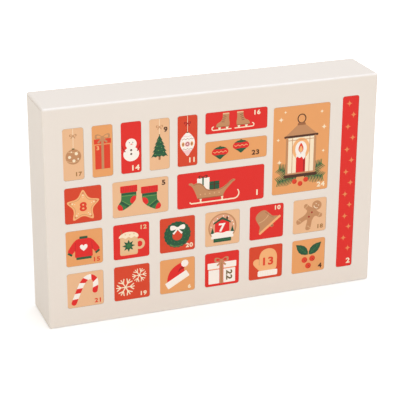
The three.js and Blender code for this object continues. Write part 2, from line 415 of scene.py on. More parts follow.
def depth_in_box(nodes, source):
    """How far a position lies inside the box's nearest wall, along X, Y and Z."""
    offset = nodes.vector("SUBTRACT", source["Position"], source["Middle"])
    return nodes.apart(nodes.vector("SUBTRACT", source["Half"], nodes.vector("ABSOLUTE", offset)))


def fold_group():
    """Wear and a painted highlight on a carton's folds. Level is 1 on its long level folds, where a
    painted highlight goes, and Rubbed is 1 in patches of any.
    """
    nodes, source, give = node_group(
        "Fold wear",
        "ShaderNodeTree",
        {**BOX_INPUTS, "Reach": ("Float", 4.0 * MM)},
        {"Level": ("Float", None), "Rubbed": ("Float", None)},
    )
    near = [nodes.ramp(depth, source["Reach"], 0.0) for depth in depth_in_box(nodes, source)]
    # Level marks the long level folds, which the carton's print lightens as a painted highlight
    level = nodes.math("MULTIPLY", near[1], near[2])
    ends = nodes.math("MULTIPLY", near[0], nodes.math("MAXIMUM", near[1], near[2]))
    fold = nodes.math("MAXIMUM", level, ends)
    handling = nodes.noise(source["Position"], scale=45.0, detail=5.0, roughness=0.65)
    patches = nodes.ramp(handling, low=0.48, high=0.7)
    return give({"Level": level, "Rubbed": nodes.math("MULTIPLY", fold, patches)})


def flute_group():
    """The cut edge of fluted board: 1 on its paper and 0 in the hollows between."""
    nodes, source, give = node_group(
        "Fluted edge",
        "ShaderNodeTree",
        {
            **BOX_INPUTS,
            "Pitch": ("Float", 3.3 * MM),
            "Board": ("Float", BOARD),
            "Liner": ("Float", 0.25 * MM),
        },
        {"Paper": ("Float", None)},
    )
    depths = depth_in_box(nodes, source)
    nearest = nodes.math("MINIMUM", nodes.math("MINIMUM", depths[0], depths[1]), depths[2])
    across = nodes.apart(source["Position"])[0]
    turn = nodes.math("MULTIPLY", nodes.math("DIVIDE", across, source["Pitch"]), 2 * math.pi)
    half = nodes.math("MULTIPLY", source["Board"], 0.5)
    crest_inset, sheet_half, blur = 1.4, 0.1 * MM, 0.12 * MM
    rise = nodes.math("MULTIPLY_ADD", source["Liner"], -crest_inset, half)
    wave = nodes.math("MULTIPLY", nodes.math("SINE", turn), rise)
    from_middle = nodes.math("SUBTRACT", nearest, half)
    from_sheet = nodes.math("ABSOLUTE", nodes.math("SUBTRACT", from_middle, wave))
    sheet = nodes.ramp(from_sheet, sheet_half + blur, sheet_half)
    to_face = nodes.math("SUBTRACT", half, nodes.math("ABSOLUTE", from_middle))
    facing = nodes.ramp(nodes.math("SUBTRACT", source["Liner"], to_face), -blur / 4, blur / 4)
    return give({"Paper": nodes.math("MAXIMUM", sheet, facing)})


@cache
def shared(name):
    """A shared node group, built once."""
    makers = {"paper": paper_group, "ink": ink_group, "fold": fold_group, "flute": flute_group}
    return makers[name]()


# Materials


def opaque(rgb):
    """A colour setting as four channels."""
    return (*rgb, 1.0)


def shaded(rgb, factor):
    """The same, lighter or darker by a factor."""
    return opaque([min(1.0, channel * factor) for channel in rgb])


def new_material(name):
    """An empty material, its nodes, its shader and the object position."""
    material = bpy.data.materials.new(name)
    material.use_nodes = True
    nodes = Nodes(material.node_tree)
    output = nodes.add("ShaderNodeOutputMaterial")
    shader = nodes.add("ShaderNodeBsdfPrincipled")
    nodes.feed(output.inputs["Surface"], shader.outputs[0])
    position = nodes.add("ShaderNodeTexCoord").outputs["Object"]
    return material, nodes, shader, position


def bump(nodes, shader, height, depth, strength):
    """A height on the surface, in metres from its lowest to its highest."""
    node = nodes.add("ShaderNodeBump", {"Height": height, "Distance": depth, "Strength": strength})
    nodes.feed(shader.inputs["Normal"], node.outputs[0])


def finished(material):
    """The material with its nodes laid out."""
    output = next(node for node in material.node_tree.nodes if node.type == "OUTPUT_MATERIAL")
    spread(material.node_tree, output)
    return material


def flecked(nodes, position, ground, fleck, low, high, most, **grain):
    """A colour with flecks of another, where a noise rises from low to high."""
    return nodes.blend(nodes.ramp(nodes.noise(position, **grain), low, high, 0.0, most), ground, fleck)


def rough_face(nodes, paper, roughness):
    """A roughness that goes from its lowest to its highest with the paper's height."""
    highest = 1.5
    return nodes.ramp(paper["Height"], 0.0, highest, *roughness)


def bare_paper(nodes, shader, paper, shown, swing, roughness, depth, strength):
    """The finish of uncoated paper: a colour that swings with the paper's tone, over a rough face."""
    cloudy = nodes.shade(shown, nodes.math("MULTIPLY_ADD", paper["Tone"], swing, 1.0 - swing / 2))
    nodes.feed(shader.inputs["Base Color"], cloudy)
    nodes.feed(shader.inputs["Roughness"], rough_face(nodes, paper, roughness))
    bump(nodes, shader, paper["Height"], depth, strength)


def made_once(maker):
    """A maker of materials that returns the one of that name if it is there."""

    def found_or_made(name, *values):
        return bpy.data.materials.get(name) or finished(maker(name, *values))

    return found_or_made


@made_once
def ink_material(name, rgb):
    """A printed ink over white lining paper, under a thin satin varnish."""
    material, nodes, shader, position = new_material(name)
    paper = nodes.group(shared("paper"), {"Position": position})
    ink = nodes.group(
        shared("ink"),
        {"Position": position, "Ink": opaque(rgb), "Tone": paper["Tone"], "Pinholes": 0.04},
    )
    nodes.feed(shader.inputs["Base Color"], ink["Color"])
    nodes.feed(shader.inputs["Roughness"], ink["Roughness"])
    nodes.feed(shader.inputs["Specular IOR Level"], 0.2)
    bump(nodes, shader, paper["Height"], depth=0.01 * MM, strength=0.6)
    return material


def printed_ink(inks, ink):
    """The material of an ink by its name in the settings."""
    return ink_material(f"ink_{ink}", getattr(inks, ink))


@made_once
def carton_print_material(name, rgb):
    """The carton's cream outside: printed and varnished, paler where a fold is rubbed, with a painted
    highlight along its long level folds.
    """
    material, nodes, shader, position = new_material(name)
    paper = nodes.group(shared("paper"), {"Position": position, "Cloud": 9.0})
    ink = nodes.group(
        shared("ink"),
        {
            "Position": position,
            "Ink": opaque(rgb),
            "Tone": paper["Tone"],
            "Pinholes": 0.1,
            "Unevenness": 0.06,
        },
    )
    fold = nodes.group(shared("fold"), {"Position": position})
    # A painted highlight lightens the long level folds, and paler patches of wear lighten rubbed folds
    painted_highlight_share, rubbed_share, roughening = 0.6, 0.25, 0.2
    rubbed_and_highlight_white = (0.96, 0.93, 0.9, 1.0)
    along = nodes.math("MULTIPLY", fold["Level"], painted_highlight_share)
    bare = nodes.math("MULTIPLY_ADD", fold["Rubbed"], rubbed_share, along)
    roughness = nodes.math("MULTIPLY_ADD", fold["Rubbed"], roughening, ink["Roughness"])
    nodes.feed(shader.inputs["Base Color"], nodes.blend(bare, ink["Color"], rubbed_and_highlight_white))
    nodes.feed(shader.inputs["Roughness"], roughness)
    nodes.feed(shader.inputs["Specular IOR Level"], 0.3)
    bump(nodes, shader, paper["Height"], depth=0.012 * MM, strength=0.6)
    return material


@made_once
def liner_material(name, rgb):
    """Uncoated kraft liner: fibres, specks and a dull face."""
    material, nodes, shader, position = new_material(name)
    paper = nodes.group(shared("paper"), {"Position": position, "Fibre": 700.0, "Cloud": 30.0})
    pale, dark = shaded(rgb, 1.35), shaded(rgb, 0.5)
    fibres = {"scale": 1500.0, "detail": 3.0, "roughness": 0.7, "stretch": (1.0, 1.0, 0.18)}
    specks = {"scale": 900.0, "detail": 2.0, "roughness": 0.8}
    shown = flecked(nodes, position, opaque(rgb), pale, low=0.55, high=0.75, most=0.3, **fibres)
    shown = flecked(nodes, position, shown, dark, low=0.66, high=0.72, most=0.45, **specks)
    finish = {"swing": 0.14, "roughness": (0.75, 0.92), "depth": 0.04 * MM, "strength": 0.7}
    bare_paper(nodes, shader, paper, shown, **finish)
    return material


@made_once
def cut_edge_material(name, rgb, board):
    """A cut edge of the carton's board, which shows the fluting between two facings, with painted shade in
    the hollows of the fluting.
    """
    material, nodes, shader, position = new_material(name)
    paper = nodes.group(shared("paper"), {"Position": position, "Fibre": 2500.0})
    sizes = {"Pitch": board.flute_pitch, "Liner": board.liner}
    edge = nodes.group(shared("flute"), {"Position": position, **sizes})
    # The hollows between the fluting are painted darker as painted shade of the gaps
    hollow, paper_share = 0.28, 0.1
    height = nodes.math("MULTIPLY_ADD", paper["Height"], paper_share, edge["Paper"])
    nodes.feed(shader.inputs["Base Color"], nodes.blend(edge["Paper"], shaded(rgb, hollow), opaque(rgb)))
    nodes.feed(shader.inputs["Roughness"], rough_face(nodes, paper, (0.8, 0.95)))
    bump(nodes, shader, height, depth=0.2 * MM, strength=0.8)
    return material


@made_once
def core_material(name, rgb):
    """The bare paper of a door's fluted core and of its cut facings."""
    material, nodes, shader, position = new_material(name)
    paper = nodes.group(shared("paper"), {"Position": position, "Fibre": 2200.0, "Cloud": 60.0})
    finish = {"swing": 0.3, "roughness": (0.8, 0.95), "depth": 0.03 * MM, "strength": 0.7}
    bare_paper(nodes, shader, paper, opaque(rgb), **finish)
    return material


@made_once
def partition_material(name, rgb):
    """Solid kraft board of the partition: cloudy, with long fibres both light and dark."""
    material, nodes, shader, position = new_material(name)
    paper = nodes.group(shared("paper"), {"Position": position, "Fibre": 600.0, "Cloud": 40.0})
    pale, dark = shaded(rgb, 1.5), shaded(rgb, 0.45)
    pale_fibres = {"scale": 1100.0, "detail": 3.0, "roughness": 0.75, "stretch": (0.15, 1.0, 1.0)}
    dark_fibres = {"scale": 1300.0, "detail": 3.0, "roughness": 0.8, "stretch": (0.2, 1.0, 0.8)}
    shown = flecked(nodes, position, opaque(rgb), pale, low=0.56, high=0.74, most=0.35, **pale_fibres)
    shown = flecked(nodes, position, shown, dark, low=0.62, high=0.72, most=0.5, **dark_fibres)
    finish = {"swing": 0.2, "roughness": (0.78, 0.95), "depth": 0.06 * MM, "strength": 0.8}
    bare_paper(nodes, shader, paper, shown, **finish)
    return material


def seen_directly(nodes):
    """1 for what the camera sees itself, or in or through a shiny piece, and 0 for light."""
    rays = nodes.add("ShaderNodeLightPath").outputs
    indirect = nodes.math("MAXIMUM", rays["Is Glossy Ray"], rays["Is Transmission Ray"])
    return nodes.math("MAXIMUM", rays["Is Camera Ray"], indirect)


# The distances from the middle of the calendar's base between which the floor turns plain white
FLOOR_FADE = (0.35, 1.3)


def floor_material(studio):
    """A floor that takes the object's shadow and shows the camera plain white farther off."""
    material = bpy.data.materials.new("studio_floor")
    material.use_nodes = True
    nodes = Nodes(material.node_tree)
    output = nodes.add("ShaderNodeOutputMaterial")
    matt = nodes.add("ShaderNodeBsdfDiffuse", {"Color": opaque(studio.floor)})
    place = nodes.add("ShaderNodeTexCoord").outputs["Object"]
    distance = nodes.vector("LENGTH", place).node.outputs["Value"]
    glow = nodes.ramp(distance, *FLOOR_FADE, studio.floor_glow, 1.0)
    strength = nodes.math("MULTIPLY", seen_directly(nodes), glow)
    light = nodes.add("ShaderNodeEmission", {"Strength": strength})
    both = nodes.add("ShaderNodeAddShader", {0: matt.outputs[0], 1: light.outputs[0]})
    nodes.feed(output.inputs["Surface"], both.outputs[0])
    return finished(material)


# Meshes


def in_scene(name, data):
    """A new object of a mesh, a text, a lamp or a camera, linked to the scene."""
    made = bpy.data.objects.new(name, data)
    bpy.context.scene.collection.objects.link(made)
    return made


def shown_mesh(made):
    """A plain mesh of an object as it shows, with what its modifiers do."""
    evaluated = made.evaluated_get(bpy.context.evaluated_depsgraph_get())
    return bpy.data.meshes.new_from_object(evaluated)


def new_piece(name, vertices, faces, materials, material_of=None):
    """A mesh object from corners and faces, with one material index for each face."""
    mesh = bpy.data.meshes.new(name)
    mesh.from_pydata([tuple(corner) for corner in vertices], [], faces)
    for material in materials:
        mesh.materials.append(material)
    if material_of:
        mesh.polygons.foreach_set("material_index", material_of)
    mesh.validate()
    mesh.update()
    return in_scene(name, mesh)


def rounded_rectangle(left, right, low, high, radius, steps=6):
    """The outline of a rectangle with round corners, anticlockwise."""
    centres = (
        (right - radius, high - radius),
        (left + radius, high - radius),
        (left + radius, low + radius),
        (right - radius, low + radius),
    )
    outline = []
    for corner, (x, z) in enumerate(centres):
        for step in range(steps + 1):
            turn = (corner + step / steps) * math.pi / 2
            outline.append((x + radius * math.cos(turn), z + radius * math.sin(turn)))
    return outline


def inset(outline, amount):
    """A convex outline drawn in towards its middle by an amount on every side."""
    count = len(outline)
    drawn = []
    for place, (x, z) in enumerate(outline):
        before, after = outline[place - 1], outline[(place + 1) % count]
        along = Vector((after[0] - before[0], after[1] - before[1])).normalized()
        drawn.append((x - along.y * amount, z + along.x * amount))
    return drawn


def lofted(rings):
    """A closed solid from rings of equal counts, front first, each a Y and an outline in X and Z."""
    count = len(rings[0][1])
    vertices = [(x, y, z) for y, outline in rings for x, z in outline]
    faces = [tuple(range(count))]
    for ring in range(len(rings) - 1):
        base = ring * count
        for place in range(count):
            following = (place + 1) % count
            faces.append((base + place, base + count + place, base + count + following, base + following))
    last = (len(rings) - 1) * count
    faces.append(tuple(reversed(range(last, last + count))))
    return vertices, faces


def dressed_copy(name, node, materials, pick, normal_at):
    """A merged copy of a CAD node with a material for each face, which stands for the node.

    pick gives a face's material index from its middle and its normal, and normal_at gives
    the smooth normal of a corner on the faces of the first material.
    """
    mesh = frame["nodes"][node].data.copy()
    mesh.name = name
    mesh.materials.clear()
    weld(mesh)
    for material in materials:
        mesh.materials.append(material)
    normals = []
    for polygon in mesh.polygons:
        polygon.material_index = pick(polygon.center, polygon.normal)
        polygon.use_smooth = True
        for loop in polygon.loop_indices:
            corner = mesh.vertices[mesh.loops[loop].vertex_index].co
            normals.append(tuple(polygon.normal if polygon.material_index else normal_at(corner)))
    mesh.normals_split_custom_set(normals)
    piece = in_scene(name, mesh)
    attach(piece, "carton")
    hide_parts(node)


@contextmanager
def edited(mesh):
    """A mesh opened for changes, which are written back to it at the end."""
    made = bmesh.new()
    made.from_mesh(mesh)
    yield made
    made.to_mesh(mesh)
    made.free()


def weld(mesh):
    """Joins the corners of a mesh that lie in one place."""
    with edited(mesh) as made:
        bmesh.ops.remove_doubles(made, verts=made.verts, dist=WELD)


def fix_normals(mesh):
    """Turns every face of a closed mesh outwards."""
    with edited(mesh) as made:
        bmesh.ops.recalc_face_normals(made, faces=made.faces)


# Carton

# How far a face may lie off its true fold or wall, and a fold's least cosine with the way out
FOLD_SLACK = 0.2 * MM
WALL_SLACK = 0.05 * MM
LEAST_OUTWARD = 0.5


def nearest_inside(corner, margin):
    """The nearest point to a corner that lies a margin inside the carton's box."""
    return Vector(
        max(low + margin, min(high - margin, value)) for low, high, value in zip(LOW, HIGH, corner)
    )


def shell_face(fold, middle, normal):
    """0 on the carton's printed outside, 1 on its inside and 2 on a cut edge."""
    out = middle - nearest_inside(middle, fold)
    if out.length > fold - FOLD_SLACK and out.normalized().dot(normal) > LEAST_OUTWARD:
        return 0
    axis = max(range(3), key=lambda at: abs(normal[at]))
    wall = LOW[axis] + BOARD if normal[axis] > 0 else HIGH[axis] - BOARD
    return 1 if abs(middle[axis] - wall) < WALL_SLACK else 2


def make_carton(context):
    """The six walls of the carton, printed outside, and its flaps in bare liner."""
    board, inks = context.scene.calendar_board, context.scene.calendar_inks
    materials = [
        carton_print_material("carton_print", inks.carton),
        liner_material("kraft_liner", inks.liner),
        cut_edge_material("fluted_cut_edge", inks.core, board),
    ]

    def normal_at(corner):
        return (corner - nearest_inside(corner, board.fold)).normalized()

    for node in SHELL_NODES:
        dressed_copy(f"printed_{node}", node, materials, partial(shell_face, board.fold), normal_at)
    for node in FLAP_NODES:
        repaint(node, materials[1])


def repaint(node, material):
    """Gives a CAD node another material and leaves its mesh alone."""
    for slot in frame["nodes"][node].material_slots:
        slot.link = "OBJECT"
        slot.material = material


def make_partition(context):
    """The kraft finish of every strip of the partition."""
    material = partition_material("partition_kraft", context.scene.calendar_inks.kraft)
    for node in frame["nodes"]:
        if "shelf" in node or "upright" in node:
            repaint(node, material)


# Doors


def ground_of(context, number):
    """The printed ground of a door."""
    slot = GROUND_SLOTS[number]
    return ink_material(f"ground_{slot}", getattr(context.scene.calendar_inks, slot))


def make_doors(context):
    """The two facings of each door: the printed one in front and the bare one behind."""
    board, inks = context.scene.calendar_board, context.scene.calendar_inks
    core = core_material("cut_board", inks.core)
    liner = liner_material("kraft_liner", inks.liner)
    for number, (low, high) in DOORS.items():
        right, sill, top = high.x + board.burr, low.z - board.burr, high.z + board.burr
        outline = rounded_rectangle(low.x, right, sill, top, board.corner)
        drawn = inset(outline, board.edge)
        printed = lofted([(low.y, drawn), (low.y + board.edge, outline), (low.y + board.liner, outline)])
        bare = lofted([(high.y - board.liner, outline), (high.y - board.edge, outline), (high.y, drawn)])
        cut = [1] * (len(printed[1]) - 1)
        front = new_piece(f"door_{number}_face", *printed, [ground_of(context, number), core], [0, *cut])
        back = new_piece(f"door_{number}_back", *bare, [liner, core], [*cut, 0])
        for piece in (front, back):
            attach(piece, f"door_{number}")
        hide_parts(f"door_{number}")


def fluting_tree():
    """Geometry nodes for a sheet of fluting: a wave along X, swept as a thin band that stands on Z."""
    nodes, source, give = node_group(
        "Fluting",
        "GeometryNodeTree",
        {
            "Geometry": ("Geometry", None),
            "Start": ("Vector", None),
            "Length": ("Float", 40.0 * MM),
            "Height": ("Float", 40.0 * MM),
            "Rise": ("Float", 0.4 * MM),
            "Pitch": ("Float", 3.3 * MM),
            "Wall": ("Float", 0.2 * MM),
            "Steps": ("Int", 12),
            "Paper": ("Material", None),
        },
        {"Geometry": ("Geometry", None)},
    )
    waves = nodes.math("DIVIDE", source["Length"], source["Pitch"])
    count = nodes.math("CEIL", nodes.math("MULTIPLY", waves, source["Steps"]))
    along = nodes.add("ShaderNodeCombineXYZ", {"X": source["Length"]}).outputs[0]
    end = nodes.vector("ADD", source["Start"], along)
    line = nodes.add("GeometryNodeCurvePrimitiveLine", {"Start": source["Start"], "End": end})
    finely = nodes.add("GeometryNodeResampleCurve", {"Curve": line.outputs[0], "Count": count})
    place = nodes.apart(nodes.add("GeometryNodeInputPosition").outputs[0])
    turn = nodes.math("MULTIPLY", nodes.math("DIVIDE", place[0], source["Pitch"]), 2 * math.pi)
    swing = nodes.math("MULTIPLY", nodes.math("SINE", turn), source["Rise"])
    offset = nodes.add("ShaderNodeCombineXYZ", {"Y": swing}).outputs[0]
    wavy = nodes.add("GeometryNodeSetPosition", {"Geometry": finely.outputs[0], "Offset": offset})
    upright = nodes.add("GeometryNodeSetCurveNormal", {"Curve": wavy.outputs[0]}, mode="Z_UP")
    section = nodes.add(
        "GeometryNodeCurvePrimitiveQuadrilateral", {"Width": source["Wall"], "Height": source["Height"]}
    )
    sheet = nodes.add(
        "GeometryNodeCurveToMesh",
        {"Curve": upright.outputs[0], "Profile Curve": section.outputs[0], "Fill Caps": True},
    )
    real = nodes.add("GeometryNodeRealizeInstances", {"Geometry": sheet.outputs[0]})
    paint = {"Geometry": real.outputs[0], "Material": source["Paper"]}
    painted = nodes.add("GeometryNodeSetMaterial", paint)
    return give({"Geometry": painted.outputs[0]})


def grown(name, tree, values):
    """A plain mesh piece from a node tree, with the tree's inputs set before it is first worked out."""
    seed = in_scene(f"{name}_seed", bpy.data.meshes.new(f"{name}_seed"))
    modifier = seed.modifiers.new("Nodes", "NODES")
    modifier.node_group = tree
    inputs = [item for item in tree.interface.items_tree if item.in_out == "INPUT"]
    sockets = {item.name: item.identifier for item in inputs}
    for socket, value in values.items():
        modifier[sockets[socket]] = value
    mesh = shown_mesh(seed)
    seed.modifiers.remove(modifier)
    bpy.data.objects.remove(seed)
    mesh.name = name
    return in_scene(name, mesh)


def make_fluting(context):
    """The fluted sheet between the two facings of each door."""
    board, inks = context.scene.calendar_board, context.scene.calendar_inks
    tree = fluting_tree()
    paper = core_material("fluting_paper", inks.core)
    for number, (low, high) in DOORS.items():
        values = {
            "Start": (low.x + board.flute_side, (low.y + high.y) / 2, (low.z + high.z) / 2),
            "Length": high.x - low.x - 2 * board.flute_side,
            "Height": high.z - low.z - 2 * board.flute_end,
            "Rise": BOARD / 2 - board.liner - board.flute_wall / 2,
            "Pitch": board.flute_pitch,
            "Wall": board.flute_wall,
            "Steps": board.flute_steps,
            "Paper": paper,
        }
        core = grown(f"door_{number}_fluting", tree, values)
        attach(core, f"door_{number}")


# Strips across the facing of a crease, and its share of the flat facing's thickness
CREASE_STEPS = 12
CREASE_DEPTH = 0.8


def make_creases(context):
    """The creased facing along the left edge of each door."""
    board, inks = context.scene.calendar_board, context.scene.calendar_inks
    carton = carton_print_material("carton_print", inks.carton)
    for number, (low, high) in DOORS.items():
        line = CREASES[number]
        bottom, top = low.z + board.corner, high.z - board.corner
        vertices, faces, indices = [], [(3, 2, 1, 0)], [0]
        back = FRONT + board.liner * CREASE_DEPTH
        for step in range(CREASE_STEPS + 1):
            side = 2 * step / CREASE_STEPS - 1
            x = line + side * board.crease
            front = FRONT - board.crease_rise * (1 - 2 * side * side)
            vertices += [(x, front, bottom), (x, front, top), (x, back, top), (x, back, bottom)]
        for step in range(CREASE_STEPS):
            base = 4 * step
            for edge in range(4):
                following = (edge + 1) % 4
                faces.append((base + edge, base + following, base + 4 + following, base + 4 + edge))
                indices.append(0 if step < CREASE_STEPS / 2 else 1)
        last = 4 * CREASE_STEPS
        faces.append((last, last + 1, last + 2, last + 3))
        indices.append(1)
        materials = [carton, ground_of(context, number)]
        piece = new_piece(f"door_{number}_crease", vertices, faces, materials, indices)
        fix_normals(piece.data)
        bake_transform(piece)


# Drawing: outlines are lists of points in millimetres from the middle of a door


def around(u, v, radius, angle):
    """The point on a circle at an angle in degrees."""
    turn = math.radians(angle)
    return (u + radius * math.cos(turn), v + radius * math.sin(turn))


def evenly(count, pitch, middle=0.0):
    """Places at an even pitch, as many to one side of a middle as to the other."""
    return [middle + (place - (count - 1) / 2) * pitch for place in range(count)]


def arc(u, v, across, start, end, up=None, steps=14):
    """Points on part of an ellipse, from one angle to another in degrees."""
    up = across if up is None else up
    angles = [math.radians(start + (end - start) * step / steps) for step in range(steps + 1)]
    return [(u + across * math.cos(angle), v + up * math.sin(angle)) for angle in angles]


def ellipse(u, v, across, up=None):
    """A whole ellipse, or a circle."""
    return arc(u, v, across, 0, 360, up, steps=36)[:-1]


def both_halves(half):
    """A whole outline from its right half, whose points on the middle line aren't doubled."""
    return half + [(-u, v) for u, v in reversed(half) if u]


def placed(outline, u=0.0, v=0.0, turn=0.0, size=1.0, mirrored=False):
    """An outline sized, mirrored, turned about its own origin and moved."""
    cos, sin = math.cos(math.radians(turn)), math.sin(math.radians(turn))
    points = [((-x if mirrored else x) * size, y * size) for x, y in outline]
    return [(u + x * cos - y * sin, v + x * sin + y * cos) for x, y in points]


def rectangle(u, v, width, height, radius=0.0, turn=0.0):
    """A rectangle about its middle, with round corners if a radius is given."""
    half, rise = width / 2, height / 2
    if radius:
        outline = rounded_rectangle(-half, half, -rise, rise, radius, steps=4)
    else:
        outline = [(-half, -rise), (half, -rise), (half, rise), (-half, rise)]
    return placed(outline, u, v, turn)


def curve(points, closed=True, steps=6):
    """A smooth curve through points."""
    count = len(points)
    drawn = []
    for place in range(count if closed else count - 1):
        near = range(place - 1, place + 3)
        knots = [points[at % count if closed else max(0, min(count - 1, at))] for at in near]
        for step in range(steps):
            t = step / steps
            weights = (
                -t / 2 + t * t - t**3 / 2,
                1 - 2.5 * t * t + 1.5 * t**3,
                t / 2 + 2 * t * t - 1.5 * t**3,
                -t * t / 2 + t**3 / 2,
            )
            drawn.append(tuple(sum(w * knot[axis] for w, knot in zip(weights, knots)) for axis in (0, 1)))
    return drawn if closed else drawn + [points[-1]]


def stroke(points, width, end_width=None, round_ends=True):
    """The outline of a line of some width along points, which may narrow to its end."""
    end_width = width if end_width is None else end_width
    count = len(points)
    left, right = [], []
    for place, point in enumerate(points):
        before, after = points[max(0, place - 1)], points[min(count - 1, place + 1)]
        along = Vector((after[0] - before[0], after[1] - before[1])).normalized()
        half = (width + (end_width - width) * place / (count - 1)) / 2
        left.append((point[0] - along.y * half, point[1] + along.x * half))
        right.append((point[0] + along.y * half, point[1] - along.x * half))
    if not round_ends:
        return right + left[::-1]
    caps = []
    for point, edge, half in ((points[-1], right[-1], end_width / 2), (points[0], left[0], width / 2)):
        start = math.degrees(math.atan2(edge[1] - point[1], edge[0] - point[0]))
        caps.append(arc(*point, half, start, start + 180, steps=8)[1:-1])
    return right + caps[0] + left[::-1] + caps[1]


def star(u, v, count, outer, inner, turn=90.0):
    """A star's points, from tip to valley and on."""
    radii = (outer, inner) * count
    return [around(u, v, radius, turn + 180 * place / count) for place, radius in enumerate(radii)]


def softened(outline, amount):
    """An outline with each corner rounded off, by an amount along its sides or less than half a side."""
    steps, most = 5, 0.48
    drawn = []
    count = len(outline)
    for place, corner in enumerate(outline):
        here = Vector(corner)
        arms = [Vector(outline[place - 1]) - here, Vector(outline[(place + 1) % count]) - here]
        ends = [here + arm.normalized() * min(amount, arm.length * most) for arm in arms]
        for step in range(steps + 1):
            t = step / steps
            point = (1 - t) ** 2 * ends[0] + 2 * t * (1 - t) * here + t * t * ends[1]
            drawn.append(tuple(point))
    return drawn


def anticlockwise(outline):
    """An outline turned round, if it has to be, so that it runs anticlockwise."""
    ahead = outline[1:] + outline[:1]
    twice_area = sum(x * after[1] - after[0] * y for (x, y), after in zip(outline, ahead))
    return outline if twice_area > 0 else outline[::-1]


class Picture:
    """The print on one door: shapes of ink, which become one flat film as the ink on top shows."""

    def __init__(self, context, number):
        low, high = DOORS[number]
        self.context = context
        self.number = number
        self.middle = (low + high) / 2
        self.half_height = (high.z - low.z) / 2 / MM
        self.shapes = []

    def put(self, ink, outline, layer=1, holes=()):
        """Adds a shape of an ink, which covers lower layers and what its own layer has so far."""
        self.shapes.append((ink, layer, anticlockwise(outline), [anticlockwise(hole) for hole in holes]))

    def film(self):
        """The film's corners, its triangles and the ink of each of them."""
        corners, loops, owners = [], [], []
        for shape, (_, _, outline, holes) in enumerate(self.shapes):
            for loop in (outline, *holes):
                loops.append(range(len(corners), len(corners) + len(loop)))
                corners += [Vector(point) for point in loop]
                owners.append((shape, loop is outline))
        inside, merge = 1, 1e-5
        points, _, triangles, _, _, covers = delaunay_2d_cdt(corners, [], loops, inside, merge)
        kept, inks = [], []
        for triangle, cover in zip(triangles, covers):
            inked = {owners[loop][0] for loop in cover if owners[loop][1]}
            bare = {owners[loop][0] for loop in cover if not owners[loop][1]}
            if inked - bare:
                top = max(inked - bare, key=lambda shape: (self.shapes[shape][1], shape))
                kept.append(tuple(triangle))
                inks.append(self.shapes[top][0])
        return points, kept, inks

    def piece(self):
        """The film as a closed mesh that rides on its door."""
        board, settings = self.context.scene.calendar_board, self.context.scene.calendar_inks
        points, kept, inks = self.film()
        used = sorted(set(inks))
        vertices = []
        for depth in (FRONT - board.film, FRONT + board.film):
            vertices += [(self.middle.x + u * MM, depth, self.middle.z + v * MM) for u, v in points]
        count = len(points)
        sides = {}
        for (a, b, c), ink in zip(kept, inks):
            sides.update({(a, b): ink, (b, c): ink, (c, a): ink})
        faces = kept + [(c + count, b + count, a + count) for a, b, c in kept]
        colours = inks + inks
        for (one, other), ink in sides.items():
            if (other, one) not in sides:
                faces.append((one, one + count, other + count, other))
                colours.append(ink)
        materials = [printed_ink(settings, ink) for ink in used]
        name = f"door_{self.number}_picture"
        piece = new_piece(name, vertices, faces, materials, [used.index(ink) for ink in colours])
        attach(piece, f"door_{self.number}")


# Pictures


def bow(picture, u, v, span, ink, layer, tails=True, hollow=True):
    """A ribbon bow about its knot: two loops, two tails and the knot."""
    loop = curve([(0.02, 0), (-0.24, 0.2), (-0.46, 0.2), (-0.5, 0.02), (-0.42, -0.1), (-0.2, -0.08)])
    eye = placed(loop, -0.1, 0.02, size=0.55)
    tail = stroke([(0, -0.02), (-0.14, -0.2), (-0.3, -0.36)], 0.09, 0.13, round_ends=False)
    for mirrored in (False, True):
        side = partial(placed, u=u, v=v, size=span, mirrored=mirrored)
        picture.put(ink, side(loop), layer, [side(eye)] if hollow else [])
        if tails:
            picture.put(ink, side(tail), layer)
    picture.put(ink, ellipse(u, v, span * 0.08, span * 0.09), layer + 1)


def thread(picture, low, knot, ink):
    """A pale thread from the top of a door, tied in a small bow of an ink."""
    top = picture.half_height - 0.2
    picture.put("cream", stroke([(0, top), (0.2, (top + low) / 2), (0, low)], 0.6, round_ends=False))
    bow(picture, 0.1, knot, 9.4, ink, 2)


def round_bauble(picture):
    """A brown bauble with pale dots, hung from a thread."""
    put = picture.put
    thread(picture, 7.5, 24.8, "tan")
    put("tan", ellipse(0, -3.2, 10.2))
    put("olive", rectangle(0, 7.2, 3.4, 1.7, 0.4), 2)
    for rise in (3.4, -9.8):
        put("sand", stroke(arc(0, rise + 14, 15, 236, 304), 0.6), 2)
    dots = ((3.9, 0.6, 2.1), (-5.0, -3.3, 2.0), (0.6, -8.6, 2.0), (6.3, -6.6, 1.1), (-2.4, 3.4, 0.9))
    for u, v, size in dots:
        put("cream", ellipse(u, v, size), 3)
    put("brown", stroke(arc(0, -3.2, 8.6, -70, 10), 0.5, 0.2), 2)


def tall_gift(picture):
    """A tall red parcel with a tan ribbon."""
    put = picture.put
    put("poppy", rectangle(0.3, 12.9, 22.4, 7.2, 0.5), 2)
    put("poppy", rectangle(0.2, -7.8, 19.8, 32.4, 0.5))
    put("glow", rectangle(0.3, 9.6, 22.4, 0.9), 3)
    put("tan", rectangle(0.3, -3.9, 3.4, 41.0), 4)
    bow(picture, 0.3, 18.6, 20.0, "tan", 6)


def snowman(picture):
    """A snowman of two balls with arms of wood."""
    put = picture.put
    put("snow", ellipse(0, -8.7, 10.6, 9.8))
    put("snow", ellipse(0, 4.9, 7.4, 7.3))
    for side in (-1, 1):
        arm = [(side * 8.4, -4.6), (side * 10.6, -1.2), (side * 12.2, 3.6)]
        put("wine", stroke(arm, 1.7, 0.9), 2)
        put("wine", stroke([(side * 11.0, 0.2), (side * 13.0, 0.6)], 0.9, 0.6), 2)
        put("umber", ellipse(side * 2.2, 6.9, 0.65), 2)
    put("poppy", [(-0.8, 5.2), (0.9, 5.2), (2.8, 4.2), (-0.8, 3.9)], 3)
    for rise in (-3.4, -8.6):
        put("umber", ellipse(0, rise, 1.4), 2)


